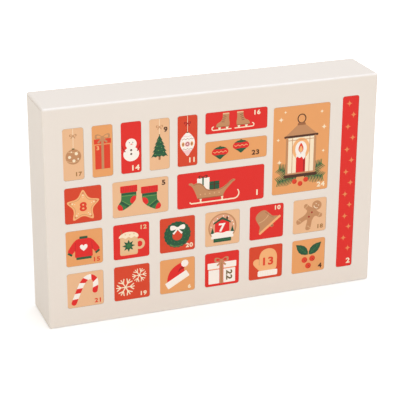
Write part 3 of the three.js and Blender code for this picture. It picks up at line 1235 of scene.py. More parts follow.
def fir_tree(picture):
    """A fir tree of five tiers, hung by its tip from a thread."""
    put = picture.put
    thread(picture, 12.0, 23.6, "tan")
    half = [(0, 12.4), (4.2, 5.0), (2.6, 5.6), (6.6, -0.4), (4.3, 0.4), (8.2, -5.4), (5.9, -4.6)]
    half += [(9.7, -10.8), (7.2, -10.0), (11.4, -17.4), (8.2, -16.0), (5.4, -17.6), (2.7, -16.0)]
    half += [(0, -17.4)]
    put("brown", rectangle(0, -18.9, 2.8, 4.6))
    put("fir", softened(both_halves(half), 0.4), 2)
    for rise, reach in ((4.4, 2.2), (-1.0, 3.6), (-6.2, 5.0), (-11.6, 6.6)):
        put("leaf", stroke(arc(0, rise + reach * 2.2, reach * 2.6, 250, 290), 0.7), 3)
    lights = [(-1.3, 6.2), (1.8, 2.2), (-3.4, -2.6), (2.9, -4.6), (-1.6, -8.2), (5.4, -10.6)]
    for u, v in [*lights, (-6, -13.2)]:
        put("lime", ellipse(u, v, 0.6), 4)
    put("olive", rectangle(0, 12.6, 1.6, 1.8, 0.4), 3)


def drop_bauble(picture):
    """A pointed bauble in cream and pink bands."""
    put = picture.put
    thread(picture, 11.6, 24.0, "wine")
    half = [(0, 11.6), (4.4, 8.8), (9.0, 2.6), (10.0, -4.0), (8.0, -10.4), (3.6, -16.6), (0, -20.6)]
    put("snow", curve(both_halves(half)))
    put("olive", rectangle(0, 11.6, 2.6, 1.6, 0.4), 2)
    for base in (2.6, -11.2):
        wave = [(u, base + 0.7 * math.cos(u * 1.3)) for u in range(-8, 9)]
        put("brown", stroke(wave if base > 0 else wave[1:-1], 0.55), 2)
    tip = [(6.9, -12.2), (3.6, -16.6), (0, -20.0), (-3.6, -16.6), (-6.9, -12.2)]
    tip += [(-3.4, -13.0), (0, -12.4), (3.4, -13.0)]
    put("pink", tip, 2)
    for side in (-1, 1):
        put("peach", ellipse(side * 6.0, -4.4, 2.0, 3.2), 2)
        put("brown", ellipse(side * 6.0, -4.4, 1.0, 2.0), 3)
    put("pink", ellipse(0, -4.4, 3.8), 2)
    put("wine", ellipse(0, -4.4, 2.6), 3, [ellipse(0, -4.4, 1.6)])
    put("pink", stroke(arc(0, 20, 14.0, 246, 294), 0.8), 2)


def skates(picture):
    """A pair of ice skates with their toes turned out."""
    put = picture.put
    boot = [(5.4, 12.2), (14.4, 12.2), (14.5, 5.6), (16.8, 1.4), (22.8, -1.6), (24.2, -6.4), (5.2, -6.4)]
    boot += [(4.6, -1.4), (5.8, 4)]
    toe = arc(27.0, -7.6, 2.4, 270, 440, steps=10)
    for mirrored in (False, True):
        side = partial(placed, u=-4.9, mirrored=mirrored)
        put("tan", side(softened(boot, 2.2)))
        put("sand", side(rectangle(9.9, 11.4, 9.0, 1.7, 0.5)), 2)
        put("brown", side(rectangle(14.4, -6.2, 19.4, 1.0, 0.4)), 2)
        for step in range(4):
            lace = [(13.4 + step * 0.7, 8.4 - step * 2.6), (9.8 + step * 0.8, 7.6 - step * 2.5)]
            put("umber", side(stroke(lace, 0.6)), 2)
        for foot in (8.2, 18.8):
            put("cream", side([(foot - 2, -6.8), (foot + 2, -6.8), (foot + 1, -9.8), (foot - 1, -9.8)]))
        put("cream", side(stroke([(2.6, -10.0), *toe], 1.4)))


def pointed_bauble(picture, u, v):
    """A red bauble with green ends."""
    half = [(0, 7.8), (5.0, 7.2), (9.6, 4.4), (11.6, 0.6), (9.6, -2.8), (5.2, -5.8), (1.0, -9.2)]
    picture.put("fir", placed(curve(both_halves(half)), u, v))
    waist = [(0, 4.4), (5.4, 4.9), (9.4, 4.5), (11.7, 0.6), (9.7, -2.9), (4.8, -3.5), (0, -3.1)]
    picture.put("red", placed(curve(both_halves(waist)), u, v), 2)
    wave = [(step, 0.7 + 0.9 * math.sin(step * 1.1)) for step in range(-9, 10)]
    picture.put("peach", placed(stroke(wave, 0.9), u, v), 3)
    picture.put("olive", rectangle(u, v + 8.2, 3.0, 1.6, 0.4), 2)
    for side in (-1, 0, 1):
        picture.put("leaf", ellipse(u + side * 3.0, v + 6.1 - abs(side) * 0.5, 0.6), 3)
        picture.put("leaf", ellipse(u + side * 2.2, v - 5.0 + abs(side) * 0.5, 0.6), 3)


def bauble_pair(picture):
    """Two pointed baubles, one a little higher."""
    pointed_bauble(picture, -22.6, -1.4)
    pointed_bauble(picture, 6.8, 4.4)


def biscuit_star(picture):
    """A five-pointed biscuit with an iced edge."""
    put = picture.put
    put("peach", softened(star(0, -2.0, 5, 25.2, 12.4), 6))
    outer, inner = (softened(star(0, -2.0, 5, reach, reach * 0.49), 4.6) for reach in (21.4, 20.2))
    put("tan", outer, 2, [inner])
    for place in range(5):
        for ink, reach, across in (("cream", 15.0, 0.9), ("cream", 11.8, 0.6), ("poppy", 17.8, 0.7)):
            put(ink, ellipse(*around(0, -2.0, reach, 90 + 72 * place), across), 3)


def stocking(picture, u, v, mirrored):
    """A green stocking with a red cuff, toe and heel, about the middle of its cuff."""
    put = picture.put
    side = partial(placed, u=u, v=v, mirrored=mirrored)
    leg = [(-10.2, -3), (10.2, -3), (10.2, -10.5), (9.4, -16.2), (4.8, -21.4), (-2.6, -26.2)]
    leg += [(-8.6, -29.2), (-14.0, -28.4), (-16.0, -24.4), (-14.0, -20.0), (-10.6, -15.8), (-10.2, -9)]
    put("leaf", side(softened(leg, 2.4)))
    toe = [(-16.1, -24.4), (-14.1, -20.0), (-11.6, -20.6), (-8.6, -24.4), (-8.0, -29.2), (-14.0, -28.6)]
    put("red", side(softened(toe, 1.6)), 3)
    heel = [(10.1, -10.2), (9.4, -16.2), (4.8, -21.4), (1.4, -18.6), (2.4, -13.4), (6.0, -10.4)]
    put("red", side(softened(heel, 1.8)), 3)
    put("fir", side(rectangle(0, -6.6, 20.3, 2.4)), 2)
    put("fir", side([(-12.6, -18.2), (-10.2, -15.2), (1.0, -23.8), (-1.4, -25.6)]), 2)
    put("lime", side(rectangle(-0.2, -9.2, 18.6, 0.8)), 2)
    put("lime", side(stroke([(-9.2, -15.6), (2.2, -23.4)], 0.7)), 2)
    put("wine", side(rectangle(0, -4.6, 20.6, 0.8)), 3)
    put("red", side(rectangle(0, 0, 23.2, 9.2, 1.0)), 4)
    for rib in evenly(9, 2.4):
        put("wine", side(rectangle(rib, 0, 0.3, 7.4)), 5)


def stockings(picture):
    """A pair of stockings hung toe out."""
    stocking(picture, -15.9, 13.6, False)
    stocking(picture, 12.2, 9.6, True)


def sleigh(picture):
    """A sleigh that carries two parcels."""
    put = picture.put
    put("snow", rectangle(-25.0, 6.6, 17.4, 17.8, 0.5))
    put("fir", rectangle(-25.4, 6.6, 2.2, 17.8), 2)
    bow(picture, -25.4, 16.4, 12.5, "umber", 3, tails=False)
    put("fir", rectangle(-9.4, 3.4, 14.0, 11.6, 0.5))
    put("umber", rectangle(-9.4, 3.4, 1.6, 11.6), 2)
    put("umber", rectangle(-9.4, 5.0, 14.0, 1.2), 2)
    rail = [(-38.5, 7.8), (-34, 9.2), (-29, 8.4), (-24.6, 4.8), (-19.6, -0.8), (-10, -2.6), (0, -1.6)]
    rail = curve([*rail, (7.4, 2.4), (12.6, 6.8), (17.2, 9.2)], False)
    nose = [(20.4, 8.2), (19.6, 6.4), (16.6, 5.0)]
    belly = curve([(13.4, 1.6), (8.4, -3.4), (4.6, -8.6), (2.6, -13.4)], False)
    back = curve([(-33.0, -13.4), (-35.2, -7.0), (-38.2, 0.2), (-41.4, 5.4), (-45.6, 8.2)], False)
    put("tan", rail + nose + belly + back + [(-44.8, 10.0), (-41.0, 10.2)], 4)
    put("brown", stroke([(u, v - 1.3) for u, v in rail], 0.8), 5)
    put("brown", rectangle(-15.4, -13.0, 34.8, 1.2, 0.5), 5)
    for foot in (-28.6, 1.8):
        leg = [(1.7, -13.6), (0.8, -17.0), (2.6, -18.8), (-2.6, -18.8), (-0.8, -17.0), (-1.7, -13.6)]
        put("cream", [(foot + u, v) for u, v in leg])
    front = arc(18.4, -11.8, 7.2, 270, 400, steps=16)
    put("cream", stroke([(-43.4, -17.6), (-41.6, -19.0), *front], 1.9, 1.5), 2)
    for stud in evenly(5, 6.6, -15.8):
        put("sand", ellipse(stud, -7.6, 0.8), 5)


def jumper(picture):
    """A red jumper with a heart and green ribbing."""
    put = picture.put
    middle = -0.8
    body = [(-5.8, 13.4), (5.8, 13.4), (11.4, 11.6), (12.0, -13.4), (-12.0, -13.4), (-11.4, 11.6)]
    put("red", placed(softened(body, 2.0), middle), 2)
    for side in (-1, 1):
        sleeve = [(7.0, 12.8), (12.6, 10.2), (17.4, 3.8), (21.6, -2.6), (20.6, -6.6)]
        sleeve += [(16.2, -8.6), (11.2, -2.6)]
        put("red", [(middle + side * u, v) for u, v in softened(sleeve, 2.0)])
        cuff = stroke([(side * 15.8, -9.4), (side * 21.2, -5.6)], 2.8, round_ends=False)
        put("fir", placed(cuff, middle), 2)
        put("wine", placed(stroke([(side * 11.0, 7.6), (side * 11.5, -3.4)], 0.45), middle), 3)
    put("fir", rectangle(middle, -14.6, 20.4, 3.4, 0.6), 3)
    put("fir", rectangle(middle, 14.4, 10.8, 3.4, 0.8), 3)
    for rib in evenly(13, 1.5, middle):
        put("leaf", rectangle(rib, -14.6, 0.35, 2.6), 4)
    heart = [(0, -5.4), (4.8, -0.6), (5.3, 2.4), (3.2, 4.4), (0.6, 3.4), (0, 2.0)]
    put("snow", placed(softened(both_halves(heart), 1.3), middle, 0.4), 3)


def mug(picture):
    """A mug of hot drink with a star on its side."""
    put = picture.put
    put("brown", stroke([(-14.4, 16.6), (-12.4, 9.0)], 2.4))
    put("poppy", stroke([(-14.7, 16.2), (-13.6, 12.4)], 1.2), 2)
    put("sand", ellipse(11.4, -5.6, 7.2, 7.6), 1, [ellipse(11.4, -5.6, 3.7, 4.1)])
    put("sand", softened([(-15.4, 9.0), (8.6, 9.0), (8.8, -19.8), (-15.6, -19.8)], 3.2), 2)
    foam = [(-17.0, 5.6), (-15.4, 9.2), (-10.2, 12.2), (-3.4, 13.2), (4.0, 12.0), (8.6, 9.2), (9.8, 5.6)]
    foam += [(7.4, 4.4), (4.0, 5.9), (0.2, 4.1), (-3.8, 6.0), (-7.8, 4.0), (-12.0, 6.0)]
    put("cream", curve(foam), 3)
    for u, v in ((-8.2, 9.6), (-2.0, 8.8), (3.6, 9.9)):
        put("sand", ellipse(u, v, 0.9), 4)
    put("fir", star(-3.8, -6.6, 8, 8.8, 4.7), 3)
    put("leaf", star(-3.8, -6.6, 8, 5.0, 2.2, 112.5), 4)
    put("peach", rectangle(-3.4, -18.2, 21.6, 0.9, 0.4), 3)


def wreath(picture):
    """A round green wreath with a pale bow."""
    put = picture.put
    steps, ripples, needles = 180, 20, 26
    rim = []
    for step in range(steps):
        angle = 360 * step / steps
        rim.append(around(0, -0.2, 18.6 + 0.45 * math.sin(ripples * math.radians(angle)), angle))
    put("fir", rim, 1, [ellipse(0, -1.8, 7.0)])
    needle = softened([(0, -1.9), (0.8, 0), (0, 2.1), (-0.8, 0)], 0.8)
    for place in range(needles):
        angle = 360 * place / needles
        at = around(0, -0.7, 15.6 if place % 2 else 11.2, angle)
        put("leaf", placed(needle, *at, turn=angle - 35, size=0.85), 2)
    put("lime", stroke(arc(0, -0.4, 16.8, 232, 296), 0.8, 0.4), 3)
    bow(picture, 0.4, 8.6, 21.0, "snow", 4, hollow=False)


def snow_globe(picture):
    """A red house in a snow globe."""
    put = picture.put
    put("tan", ellipse(0, 1.2, 20.2))
    put("blush", ellipse(0, 1.2, 18.4), 2)
    put("sand", stroke(arc(0, 1.2, 16.6, -20, 62), 1.2, 0.5), 3)
    for side in (-1, 1):
        put("fir", [(side * 11.6, -7), (side * 17.0, -7), (side * 14.2, 2.2)], 3)
    put("red", rectangle(-0.4, 0.2, 20.8, 14.6), 4)
    put("red", [(-10.8, 7.2), (-0.4, 13.4), (10.0, 7.2)], 4)
    gable = [(-13.6, 5.8), (-12.2, 8.8), (-0.4, 16.2), (11.4, 8.8), (12.8, 5.8), (-0.4, 12.4)]
    put("fir", softened(gable, 0.9), 5)
    put("umber", rectangle(6.6, 13.6, 2.6, 4.2), 4)
    mound = arc(0, 1.2, 18.4, 206, 334)
    put("snow", mound + curve([(14, -6.6), (7, -5.6), (0, -6.8), (-8, -5.4), (-14, -6.8)], False), 5)
    flakes = [(-12.6, 10.4), (-7.2, 14.4), (8.6, 15.8), (14.0, 8.6), (15.8, 3.6), (-16.2, 3.2)]
    for u, v in [*flakes, (1.2, 17.2)]:
        put("snow", ellipse(u, v, 0.8), 5)
    put("snow", rectangle(0, -12.4, 31.8, 4.6, 1.2), 6)
    put("fir", rectangle(0, -17.2, 25.4, 5.4, 0.6), 6)
    put("leaf", rectangle(0, -17.2, 22.0, 0.7), 7)


def bell(picture):
    """A brown bell swung to one side."""
    tilted = partial(placed, u=-1.6, v=2.0, turn=38, size=1.08)
    put = picture.put
    put("tan", tilted(ellipse(2.2, -11.0, 2.6)), 1)
    put("brown", tilted(ellipse(2.2, -12.0, 1.2)), 2)
    half = [(0, 14.6), (4.6, 13.9), (8.2, 11.0), (9.6, 5.4), (10.8, -1.6), (14.6, -8.2)]
    put("tan", tilted(curve(both_halves(half), steps=8)), 3)
    put("peach", tilted(rectangle(0.6, -9.0, 36.0, 3.0, 1.3)), 4)
    put("sand", tilted(stroke(arc(0, 20, 18.4, 242, 298), 0.7)), 4)
    put("brown", tilted(stroke([(6.8, 9.4), (8.2, 2.0), (10.8, -5.0)], 0.7, 0.4)), 4)


def gingerbread_man(picture):
    """An iced gingerbread man with his arms out."""
    tilted = partial(placed, turn=-36)
    put = picture.put
    put("tan", tilted(ellipse(0, 17.4, 7.2, 6.8)))
    half = [(3.2, 11.4), (8.5, 10.8), (14.2, 11.4), (16.4, 8.4), (14.0, 5.0), (7.6, 3.6), (7.4, -4.0)]
    half += [(12.4, -14.6), (10.0, -19.0), (6.0, -18.2), (0, -6.8)]
    put("tan", tilted(curve(both_halves(half))))
    for side in (-1, 1):
        put("cream", tilted(ellipse(side * 2.4, 18.8, 0.75)), 2)
        for line in (
            [(12.2, 10.6), (11.6, 8.8), (12.6, 7.0), (11.8, 5.4)],
            [(12.0, -13.2), (10.0, -14.2), (8.2, -13.2), (6.2, -14.2)],
        ):
            put("sand", tilted(stroke([(side * u, v) for u, v in line], 0.8)), 2)
    put("cream", tilted(stroke(arc(0, 17.2, 4.0, 216, 324), 1.0)), 2)
    for rise in (5.4, -1.8):
        put("wine", tilted(ellipse(0, rise, 1.4)), 2)


def candy_cane(picture):
    """A striped sugar cane hung by its hook, with a stripe at each end."""
    shaft = [(-15.8, -17.8), (-11.8, -8.0), (-7.8, 1.4), (-3.8, 9.4)]
    hook = [(1.4, 15.4), (7.6, 16.8), (13.0, 12.6), (14.0, 5.6), (13.0, -3.4)]
    path = curve(shaft + hook, False, 10)
    width, slant, band, stripes, cuts = 7.2, 3.6, 7.4, 5, 6
    picture.put("snow", stroke(path, width, round_ends=False), 2)
    runs = [0.0]
    for before, after in zip(path, path[1:]):
        runs.append(runs[-1] + math.dist(before, after))

    def edge(distance, side):
        """A point beside the path, at a distance along it that is held within its ends."""
        distance = max(0.0, min(runs[-1], distance))
        place = next(at for at in range(1, len(runs)) if runs[at] >= distance)
        start, end = Vector(path[place - 1]), Vector(path[place])
        along = (end - start).normalized()
        point = start.lerp(end, (distance - runs[place - 1]) / (runs[place] - runs[place - 1]))
        return (point.x - along.y * side, point.y + along.x * side)

    pitch = (runs[-1] + slant - band) / (stripes - 1)
    for stripe in range(stripes):
        start = stripe * pitch - slant
        left = [edge(start + band * step / cuts, width / 2) for step in range(cuts + 1)]
        right = [edge(start + slant + band * step / cuts, -width / 2) for step in range(cuts + 1)]
        picture.put("red", left + right[::-1], 3)
    for end in (path[0], path[-1]):
        picture.put("red", ellipse(*end, width / 2))


def snowflake(picture, u, v, radius, turn):
    """A snowflake with six forked arms, whose sizes are shares of its radius."""
    width, fork, tip_along, tip_aside = (radius * share for share in (0.12, 0.5, 0.92, 0.33))
    for arm in range(6):
        spoke = partial(placed, u=u, v=v, turn=turn + 60 * arm)
        picture.put("cream", spoke(stroke([(0, 0), (radius, 0)], width)))
        for side in (-1, 1):
            picture.put("cream", spoke(stroke([(fork, 0), (tip_along, side * tip_aside)], width)))


def snowflakes(picture):
    """A large and a smaller snowflake."""
    snowflake(picture, -9.0, -6.0, 12.2, 0)
    snowflake(picture, 10.4, 8.8, 9.6, 5)


def santa_hat(picture):
    """A red winter hat with a white brim and pompom."""
    put = picture.put
    crown = [(-14.6, -9.4), (-13.4, 0.6), (-8.2, 9.6), (0.6, 16.0), (8.6, 18.0), (11.6, 14.8)]
    crown += [(9.6, 9.4), (10.2, 4.4), (13.0, 1.6)]
    put("red", curve(crown, False) + [(0, -8.6)])
    put("wine", curve([(9.6, 9.8), (6.2, 11.4), (2.6, 8.6), (1.4, 4.0), (4.4, 7.2), (8.0, 8.4)]), 2)
    put("snow", rectangle(-0.2, -6.4, 34.4, 9.8, 1.0, turn=29), 3)
    put("cream", placed(stroke([(-14, -3.2), (0, -3.8), (14, -3.2)], 0.7), -0.2, -6.4, 29), 4)
    for place in range(10):
        put("snow", placed(ellipse(3.5, 0, 1.8), 10.4, 16.2, 36 * place), 3)
    put("snow", ellipse(10.4, 16.2, 3.9), 3)


def gift_box(picture):
    """A pale box tied with a ribbon."""
    put = picture.put
    put("snow", rectangle(0, -10.8, 38.6, 20.6, 0.7))
    put("snow", rectangle(0, 5.4, 41.4, 8.8, 0.8))
    put("peach", rectangle(0, 0.5, 38.6, 0.8), 2)
    for side in (-1, 1):
        put("red", rectangle(-0.8 + side * 2.6, -6.0, 0.7, 31.4), 2)
    put("tan", rectangle(-0.8, -6.0, 4.6, 31.4), 3)
    put("brown", rectangle(-0.8, -6.0, 0.6, 31.4), 4)
    bow(picture, -0.8, 12.6, 20.5, "tan", 4)


def mitten(picture):
    """A peach mitten with a knitted cuff."""
    put = picture.put
    hand = [(-9.6, -12.6), (-9.6, 9.6), (-5.6, 17.6), (3.6, 20.6), (12.8, 17.6), (16.9, 9.6)]
    put("peach", softened([*hand, (16.4, -12.6)], 5.2))
    thumb = [(-7.2, 2.0), (-12.6, 5.6), (-17.4, 3.6), (-18.0, -1.6), (-13.0, -8.0), (-7.2, -12.4)]
    put("peach", curve(thumb))
    put("tan", stroke([(-9.5, -3.4), (-9.3, 2.6), (-8.5, 6.6)], 0.7, 0.3), 2)
    put("snow", rectangle(3.2, -16.8, 29.0, 8.6, 1.8), 3)
    for rib in evenly(9, 2.5, 3.2):
        put("cream", rectangle(rib, -16.8, 0.5, 6.2, 0.2), 4)
    for stitch in evenly(8, 2.8, 3.4):
        put("sand", rectangle(stitch, -10.6, 1.5, 0.5), 2)


def berry(picture, u, v, radius, shade, layer):
    """A red berry with a curved shade of some width."""
    picture.put("poppy", ellipse(u, v, radius), layer)
    picture.put("wine", stroke(arc(u, v, radius * 0.75, -80, 20), shade, 0.3), layer + 1)


def holly(picture):
    """Two holly leaves over three berries."""
    put = picture.put
    edge = [(1.0, 0.4), (4.2, 3.6), (5.6, 3.9), (8.8, 5.9), (10.6, 5.7), (14.2, 6.1), (16.0, 5.2)]
    edge += [(19.4, 4.2), (21.4, 2.6), (25.4, 0.3)]
    outline = softened(edge + [(u, -v) for u, v in reversed(edge)], 0.8)
    for turn in (42, 138):
        leaf = partial(placed, v=1.2, turn=turn)
        put("fir", leaf(outline))
        put("leaf", leaf(stroke([(1, 0), (21, 0)], 0.8, 0.3)), 2)
        for along in (6, 11, 16):
            for side in (-1, 1):
                put("leaf", leaf(stroke([(along, 0), (along + 3.0, side * 3.0)], 0.5, 0.25)), 2)
    for u, v in ((-5.6, -6.0), (6.0, -5.0), (0.2, -15.2)):
        berry(picture, u, v, 4.4, 0.7, 3)
        put("wine", ellipse(u + 0.6, v - 0.4, 0.7), 4)


def sprig(picture, u, v, turn, size):
    """A fir sprig that grows to the right, with its longest needles a third of the way along."""
    pairs, first, pitch, lean = 12, 2.5, 2.2, 0.62
    longest, longest_pair, shorter = 8.6, 4, 0.45
    grown_to = partial(placed, u=u, v=v, turn=turn, size=size)
    picture.put("umber", grown_to(stroke([(0, 0), (14, 1.0), (28, 0)], 1.2, 0.5)))
    for pair in range(pairs):
        along = first + pair * pitch
        reach = longest - abs(pair - longest_pair) * shorter
        for side in (-1, 1):
            needle = [(along, 0.5), (along + reach * lean, side * reach)]
            picture.put("leaf" if pair % 2 else "fir", grown_to(stroke(needle, 1.8, 0.6)), 2)


def sparkle(picture, u, v, reach, ink):
    """A four-pointed sparkle with drawn-in sides."""
    steps, pinch = 6, 1.15
    points = []
    for quarter in range(4):
        for step in range(steps):
            angle = math.radians(step * 90 / steps)
            inward = (reach * (1 - math.sin(angle)) ** pinch, reach * (1 - math.cos(angle)) ** pinch)
            points += placed([inward], turn=90 * quarter)
    picture.put(ink, placed(points, u, v))


def lantern(picture):
    """A candle lantern over fir sprigs, with sparkles round it."""
    put = picture.put
    for side, turn in ((1, -12), (1, 24), (-1, 192), (-1, 156)):
        sprig(picture, side * 3, -37, turn, 1.12)
    put("umber", ellipse(0, 43, 6.4, 6.8), 3, [ellipse(0, 43, 4.9, 5.3)])
    put("brown", softened([(-5, 37.4), (5, 37.4), (6.4, 33.4), (-6.4, 33.4)], 0.8), 4)
    put("tan", softened([(-6.4, 34.0), (6.4, 34.0), (23.6, 19.4), (-23.6, 19.4)], 1.6), 4)
    put("umber", rectangle(0, 18.6, 49.6, 3.2, 1.4), 5)
    put("cream", rectangle(0, -9.2, 40.4, 53.0), 4)
    put("peach", ellipse(0, 0.6, 12.6, 15.4), 5)
    put("snow", ellipse(0, 0.2, 8.4, 11.0), 6)
    put("red", rectangle(0, -21.6, 13.6, 28.0, 1.2), 7)
    put("wine", rectangle(5.0, -22.6, 2.2, 24.4, 0.8), 8)
    wax = [(-6.8, -6.6), (6.8, -6.6), (6.8, -11.4), (4.2, -15.4), (1.6, -10.8), (-1.8, -13.0)]
    put("snow", softened([*wax, (-4.4, -10.2), (-6.8, -12.2)], 1.2), 9)
    put("umber", rectangle(0, -5.4, 0.7, 3.4), 8)
    flame = curve([(0, 8.6), (3.4, 2.2), (3.0, -2.6), (0, -4.8), (-3.0, -2.6), (-3.4, 2.2)])
    put("poppy", flame, 8)
    put("peach", placed(flame, 0, -1.1, size=0.66), 9)
    for side in (-1, 1):
        put("tan", rectangle(side * 20.4, -9.2, 3.4, 54.0, 0.6), 9)
        put("tan", rectangle(side * 12.6, -9.2, 0.9, 53.0), 6)
    put("tan", rectangle(0, 13.4, 40.4, 0.9), 6)
    put("umber", rectangle(0, -37.4, 49.0, 4.4, 1.2), 10)
    put("tan", rectangle(0, -34.4, 43.6, 2.8, 0.8), 9)
    for u, v in ((-8.2, -45.6), (8.4, -44.6), (0.2, -49.6)):
        berry(picture, u, v, 3.6, 0.6, 4)
    sky = [(-30, 44, 4.6), (29, 50, 3.4), (33, 28, 4.8), (-33.5, 16, 3.4), (33, -6, 3.4)]
    for u, v, reach in [*sky, (-31, -16, 4.8), (-24, 54, 2.8)]:
        sparkle(picture, u, v, reach, "cream")


def sparkles(picture):
    """A column of sparkles that step from side to side."""
    drift = random.Random(24)
    count, pitch, margin, reach = 14, 16.3, 10.3, 5.4
    middle, step_aside, wander = 1.0, 3.3, 0.8
    for place in range(count):
        side = middle + (step_aside if place % 2 else -step_aside) + drift.uniform(-wander, wander)
        sparkle(picture, side, picture.half_height - margin - place * pitch, reach, "glow")


PICTURES = {
    "01": sleigh,
    "02": sparkles,
    "03": tall_gift,
    "04": holly,
    "05": stockings,
    "06": santa_hat,
    "07": snow_globe,
    "08": biscuit_star,
    "09": fir_tree,
    "10": bell,
    "11": drop_bauble,
    "12": mug,
    "13": mitten,
    "14": snowman,
    "15": jumper,
    "16": skates,
    "17": round_bauble,
    "18": gingerbread_man,
    "19": snowflakes,
    "20": wreath,
    "21": candy_cane,
    "22": gift_box,
    "23": bauble_pair,
    "24": lantern,
}

# Each number's middle from its door's middle and its height, in millimetres, and its ink
NUMBERS = {
    "01": (51.7, -14.7, 8.0, "cream"),
    "02": (6.2, -116.6, 8.0, "cream"),
    "03": (-6.0, 4.6, 5.4, "peach"),
    "04": (18.0, -17.4, 7.4, "umber"),
    "05": (31.6, 16.6, 7.2, "umber"),
    "06": (17.0, -18.4, 5.8, "cream"),
    "07": (-0.4, 0.8, 12.2, "snow"),
    "08": (0.0, -2.6, 12.8, "poppy"),
    "09": (8.3, 19.3, 7.2, "umber"),
    "10": (16.0, 19.0, 6.2, "cream"),
    "11": (6.2, -26.6, 6.8, "cream"),
    "12": (17.0, 17.8, 6.2, "sand"),
    "13": (3.8, 1.0, 12.0, "poppy"),
    "14": (6.0, -27.8, 7.4, "cream"),
    "15": (16.6, -18.6, 6.4, "poppy"),
    "16": (29.2, 8.6, 6.6, "cream"),
    "17": (6.8, -27.0, 5.8, "khaki"),
    "18": (16.4, -17.4, 6.2, "khaki"),
    "19": (16.2, -18.0, 6.4, "cream"),
    "20": (16.8, -17.6, 6.4, "cream"),
    "21": (16.4, -18.2, 6.4, "poppy"),
    "22": (10.6, -10.4, 9.0, "olive"),
    "23": (27.5, -7.0, 7.0, "umber"),
    "24": (31.0, -54.0, 7.4, "cream"),
}
NUMBER_TURNS = {"22": -90.0}
NUMBER_WEIGHT = 0.038
NUMBER_STRETCH = 1.15
NUMBER_LIFT = 2


def make_pictures(context):
    """The printed picture of each door."""
    for number, draw in PICTURES.items():
        picture = Picture(context, number)
        draw(picture)
        picture.piece()


def numeral_mesh(number):
    """A plain bold number as a flat solid, which reads along X in the plane of X and Y."""
    text = bpy.data.curves.new(f"door_{number}_text", "FONT")
    text.body = number.lstrip("0")
    text.offset = NUMBER_WEIGHT
    text.extrude = 0.5
    text.space_character = 1.12
    text.resolution_u = 6
    holder = in_scene(text.name, text)
    mesh = shown_mesh(holder)
    bpy.data.objects.remove(holder)
    return mesh


def make_numbers(context):
    """The plain number of each door, printed over its picture."""
    board, inks = context.scene.calendar_board, context.scene.calendar_inks
    for number, (u, v, height, ink) in NUMBERS.items():
        mesh = numeral_mesh(number)
        across, up = ([vertex.co[axis] for vertex in mesh.vertices] for axis in (0, 1))
        centre = Vector(((min(across) + max(across)) / 2, (min(up) + max(up)) / 2, 0))
        size = height * MM / (max(up) - min(up))
        turn = Matrix.Rotation(math.radians(NUMBER_TURNS.get(number, 0.0)), 3, "Z")
        stretch = Matrix.Diagonal((size * NUMBER_STRETCH, size, 1))
        middle = (DOORS[number][0] + DOORS[number][1]) / 2
        for vertex in mesh.vertices:
            flat = turn @ stretch @ (vertex.co - centre)
            depth = -NUMBER_LIFT * board.film if vertex.co.z > 0 else board.film
            vertex.co = (middle.x + u * MM + flat.x, FRONT + depth, middle.z + v * MM + flat.y)
        weld(mesh)
        fix_normals(mesh)
        mesh.materials.clear()
        mesh.materials.append(printed_ink(inks, ink))
        mesh.name = f"door_{number}_number"
        piece = in_scene(mesh.name, mesh)
        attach(piece, f"door_{number}")


# Studio

# How far the floor goes each way, and how far it lies under the calendar
FLOOR_REACH = 6.0
FLOOR_DROP = 0.1 * MM

# Each lamp's place and the side of its square, in metres
LAMPS = {
    "key": ((0.1, -2.3, 0.9), 1.6),
    "top": ((0.2, 0.1, 2.2), 1.8),
    "fill": ((-2.2, -0.2, 0.9), 1.4),
}


def lamp(name, place, side, watts, tint):
    """A soft square lamp that points at the middle of the calendar."""
    light = bpy.data.lights.new(name, "AREA")
    light.color = tint
    light.shape = "SQUARE"
    light.size = side
    light.energy = watts
    holder = in_scene(name, light)
    holder.location = place
    holder.rotation_mode = "QUATERNION"
    holder.rotation_quaternion = ((LOW + HIGH) / 2 - Vector(place)).to_track_quat("-Z", "Y")


def make_studio(context):
    """The camera, a pale floor, three soft lamps and an even sky."""
    studio = context.scene.calendar_studio
    data = bpy.data.cameras.new("camera")
    data.lens = studio.lens
    camera = in_scene("camera", data)
    camera.location = studio.camera_place
    camera.rotation_euler = studio.camera_turn
    context.scene.camera = camera

    ways = ((-1, -1), (1, -1), (1, 1), (-1, 1))
    corners = [(x * FLOOR_REACH, y * FLOOR_REACH, -FLOOR_DROP) for x, y in ways]
    floor = new_piece("studio_floor", corners, [(0, 1, 2, 3)], [floor_material(studio)])

    for name, (place, side) in LAMPS.items():
        lamp(f"{name}_lamp", place, side, getattr(studio, name), getattr(studio, f"{name}_tint"))

    world = bpy.data.worlds.new("studio_sky")
    context.scene.world = world
    world.use_nodes = True
    nodes = Nodes(world.node_tree)
    output = nodes.add("ShaderNodeOutputWorld")
    strength = nodes.math("MAXIMUM", seen_directly(nodes), studio.sky)
    sky = nodes.add("ShaderNodeBackground", {"Color": (1.0, 1.0, 1.0, 1.0), "Strength": strength})
    nodes.feed(output.inputs["Surface"], sky.outputs[0])
    spread(world.node_tree, output)
    context.scene.view_settings.view_transform = "Standard"


# Operators, panel and registration


class CALENDAR_OT_studio(bpy.types.Operator):
    """Set the camera, the floor, the lamps and the sky"""

    bl_idname = "calendar.studio"
    bl_label = "Studio"
    bl_options = {"REGISTER", "UNDO"}

    def execute(self, context):
        make_studio(context)
        return {"FINISHED"}


class CALENDAR_OT_carton(bpy.types.Operator):
    """Print the carton's walls and leave its flaps bare"""

    bl_idname = "calendar.carton"
    bl_label = "Carton"
    bl_options = {"REGISTER", "UNDO"}

    def execute(self, context):
        make_carton(context)
        return {"FINISHED"}


class CALENDAR_OT_partition(bpy.types.Operator):
    """Finish the strips of the partition in kraft board"""

    bl_idname = "calendar.partition"
    bl_label = "Partition"
    bl_options = {"REGISTER", "UNDO"}

    def execute(self, context):
        make_partition(context)
        return {"FINISHED"}


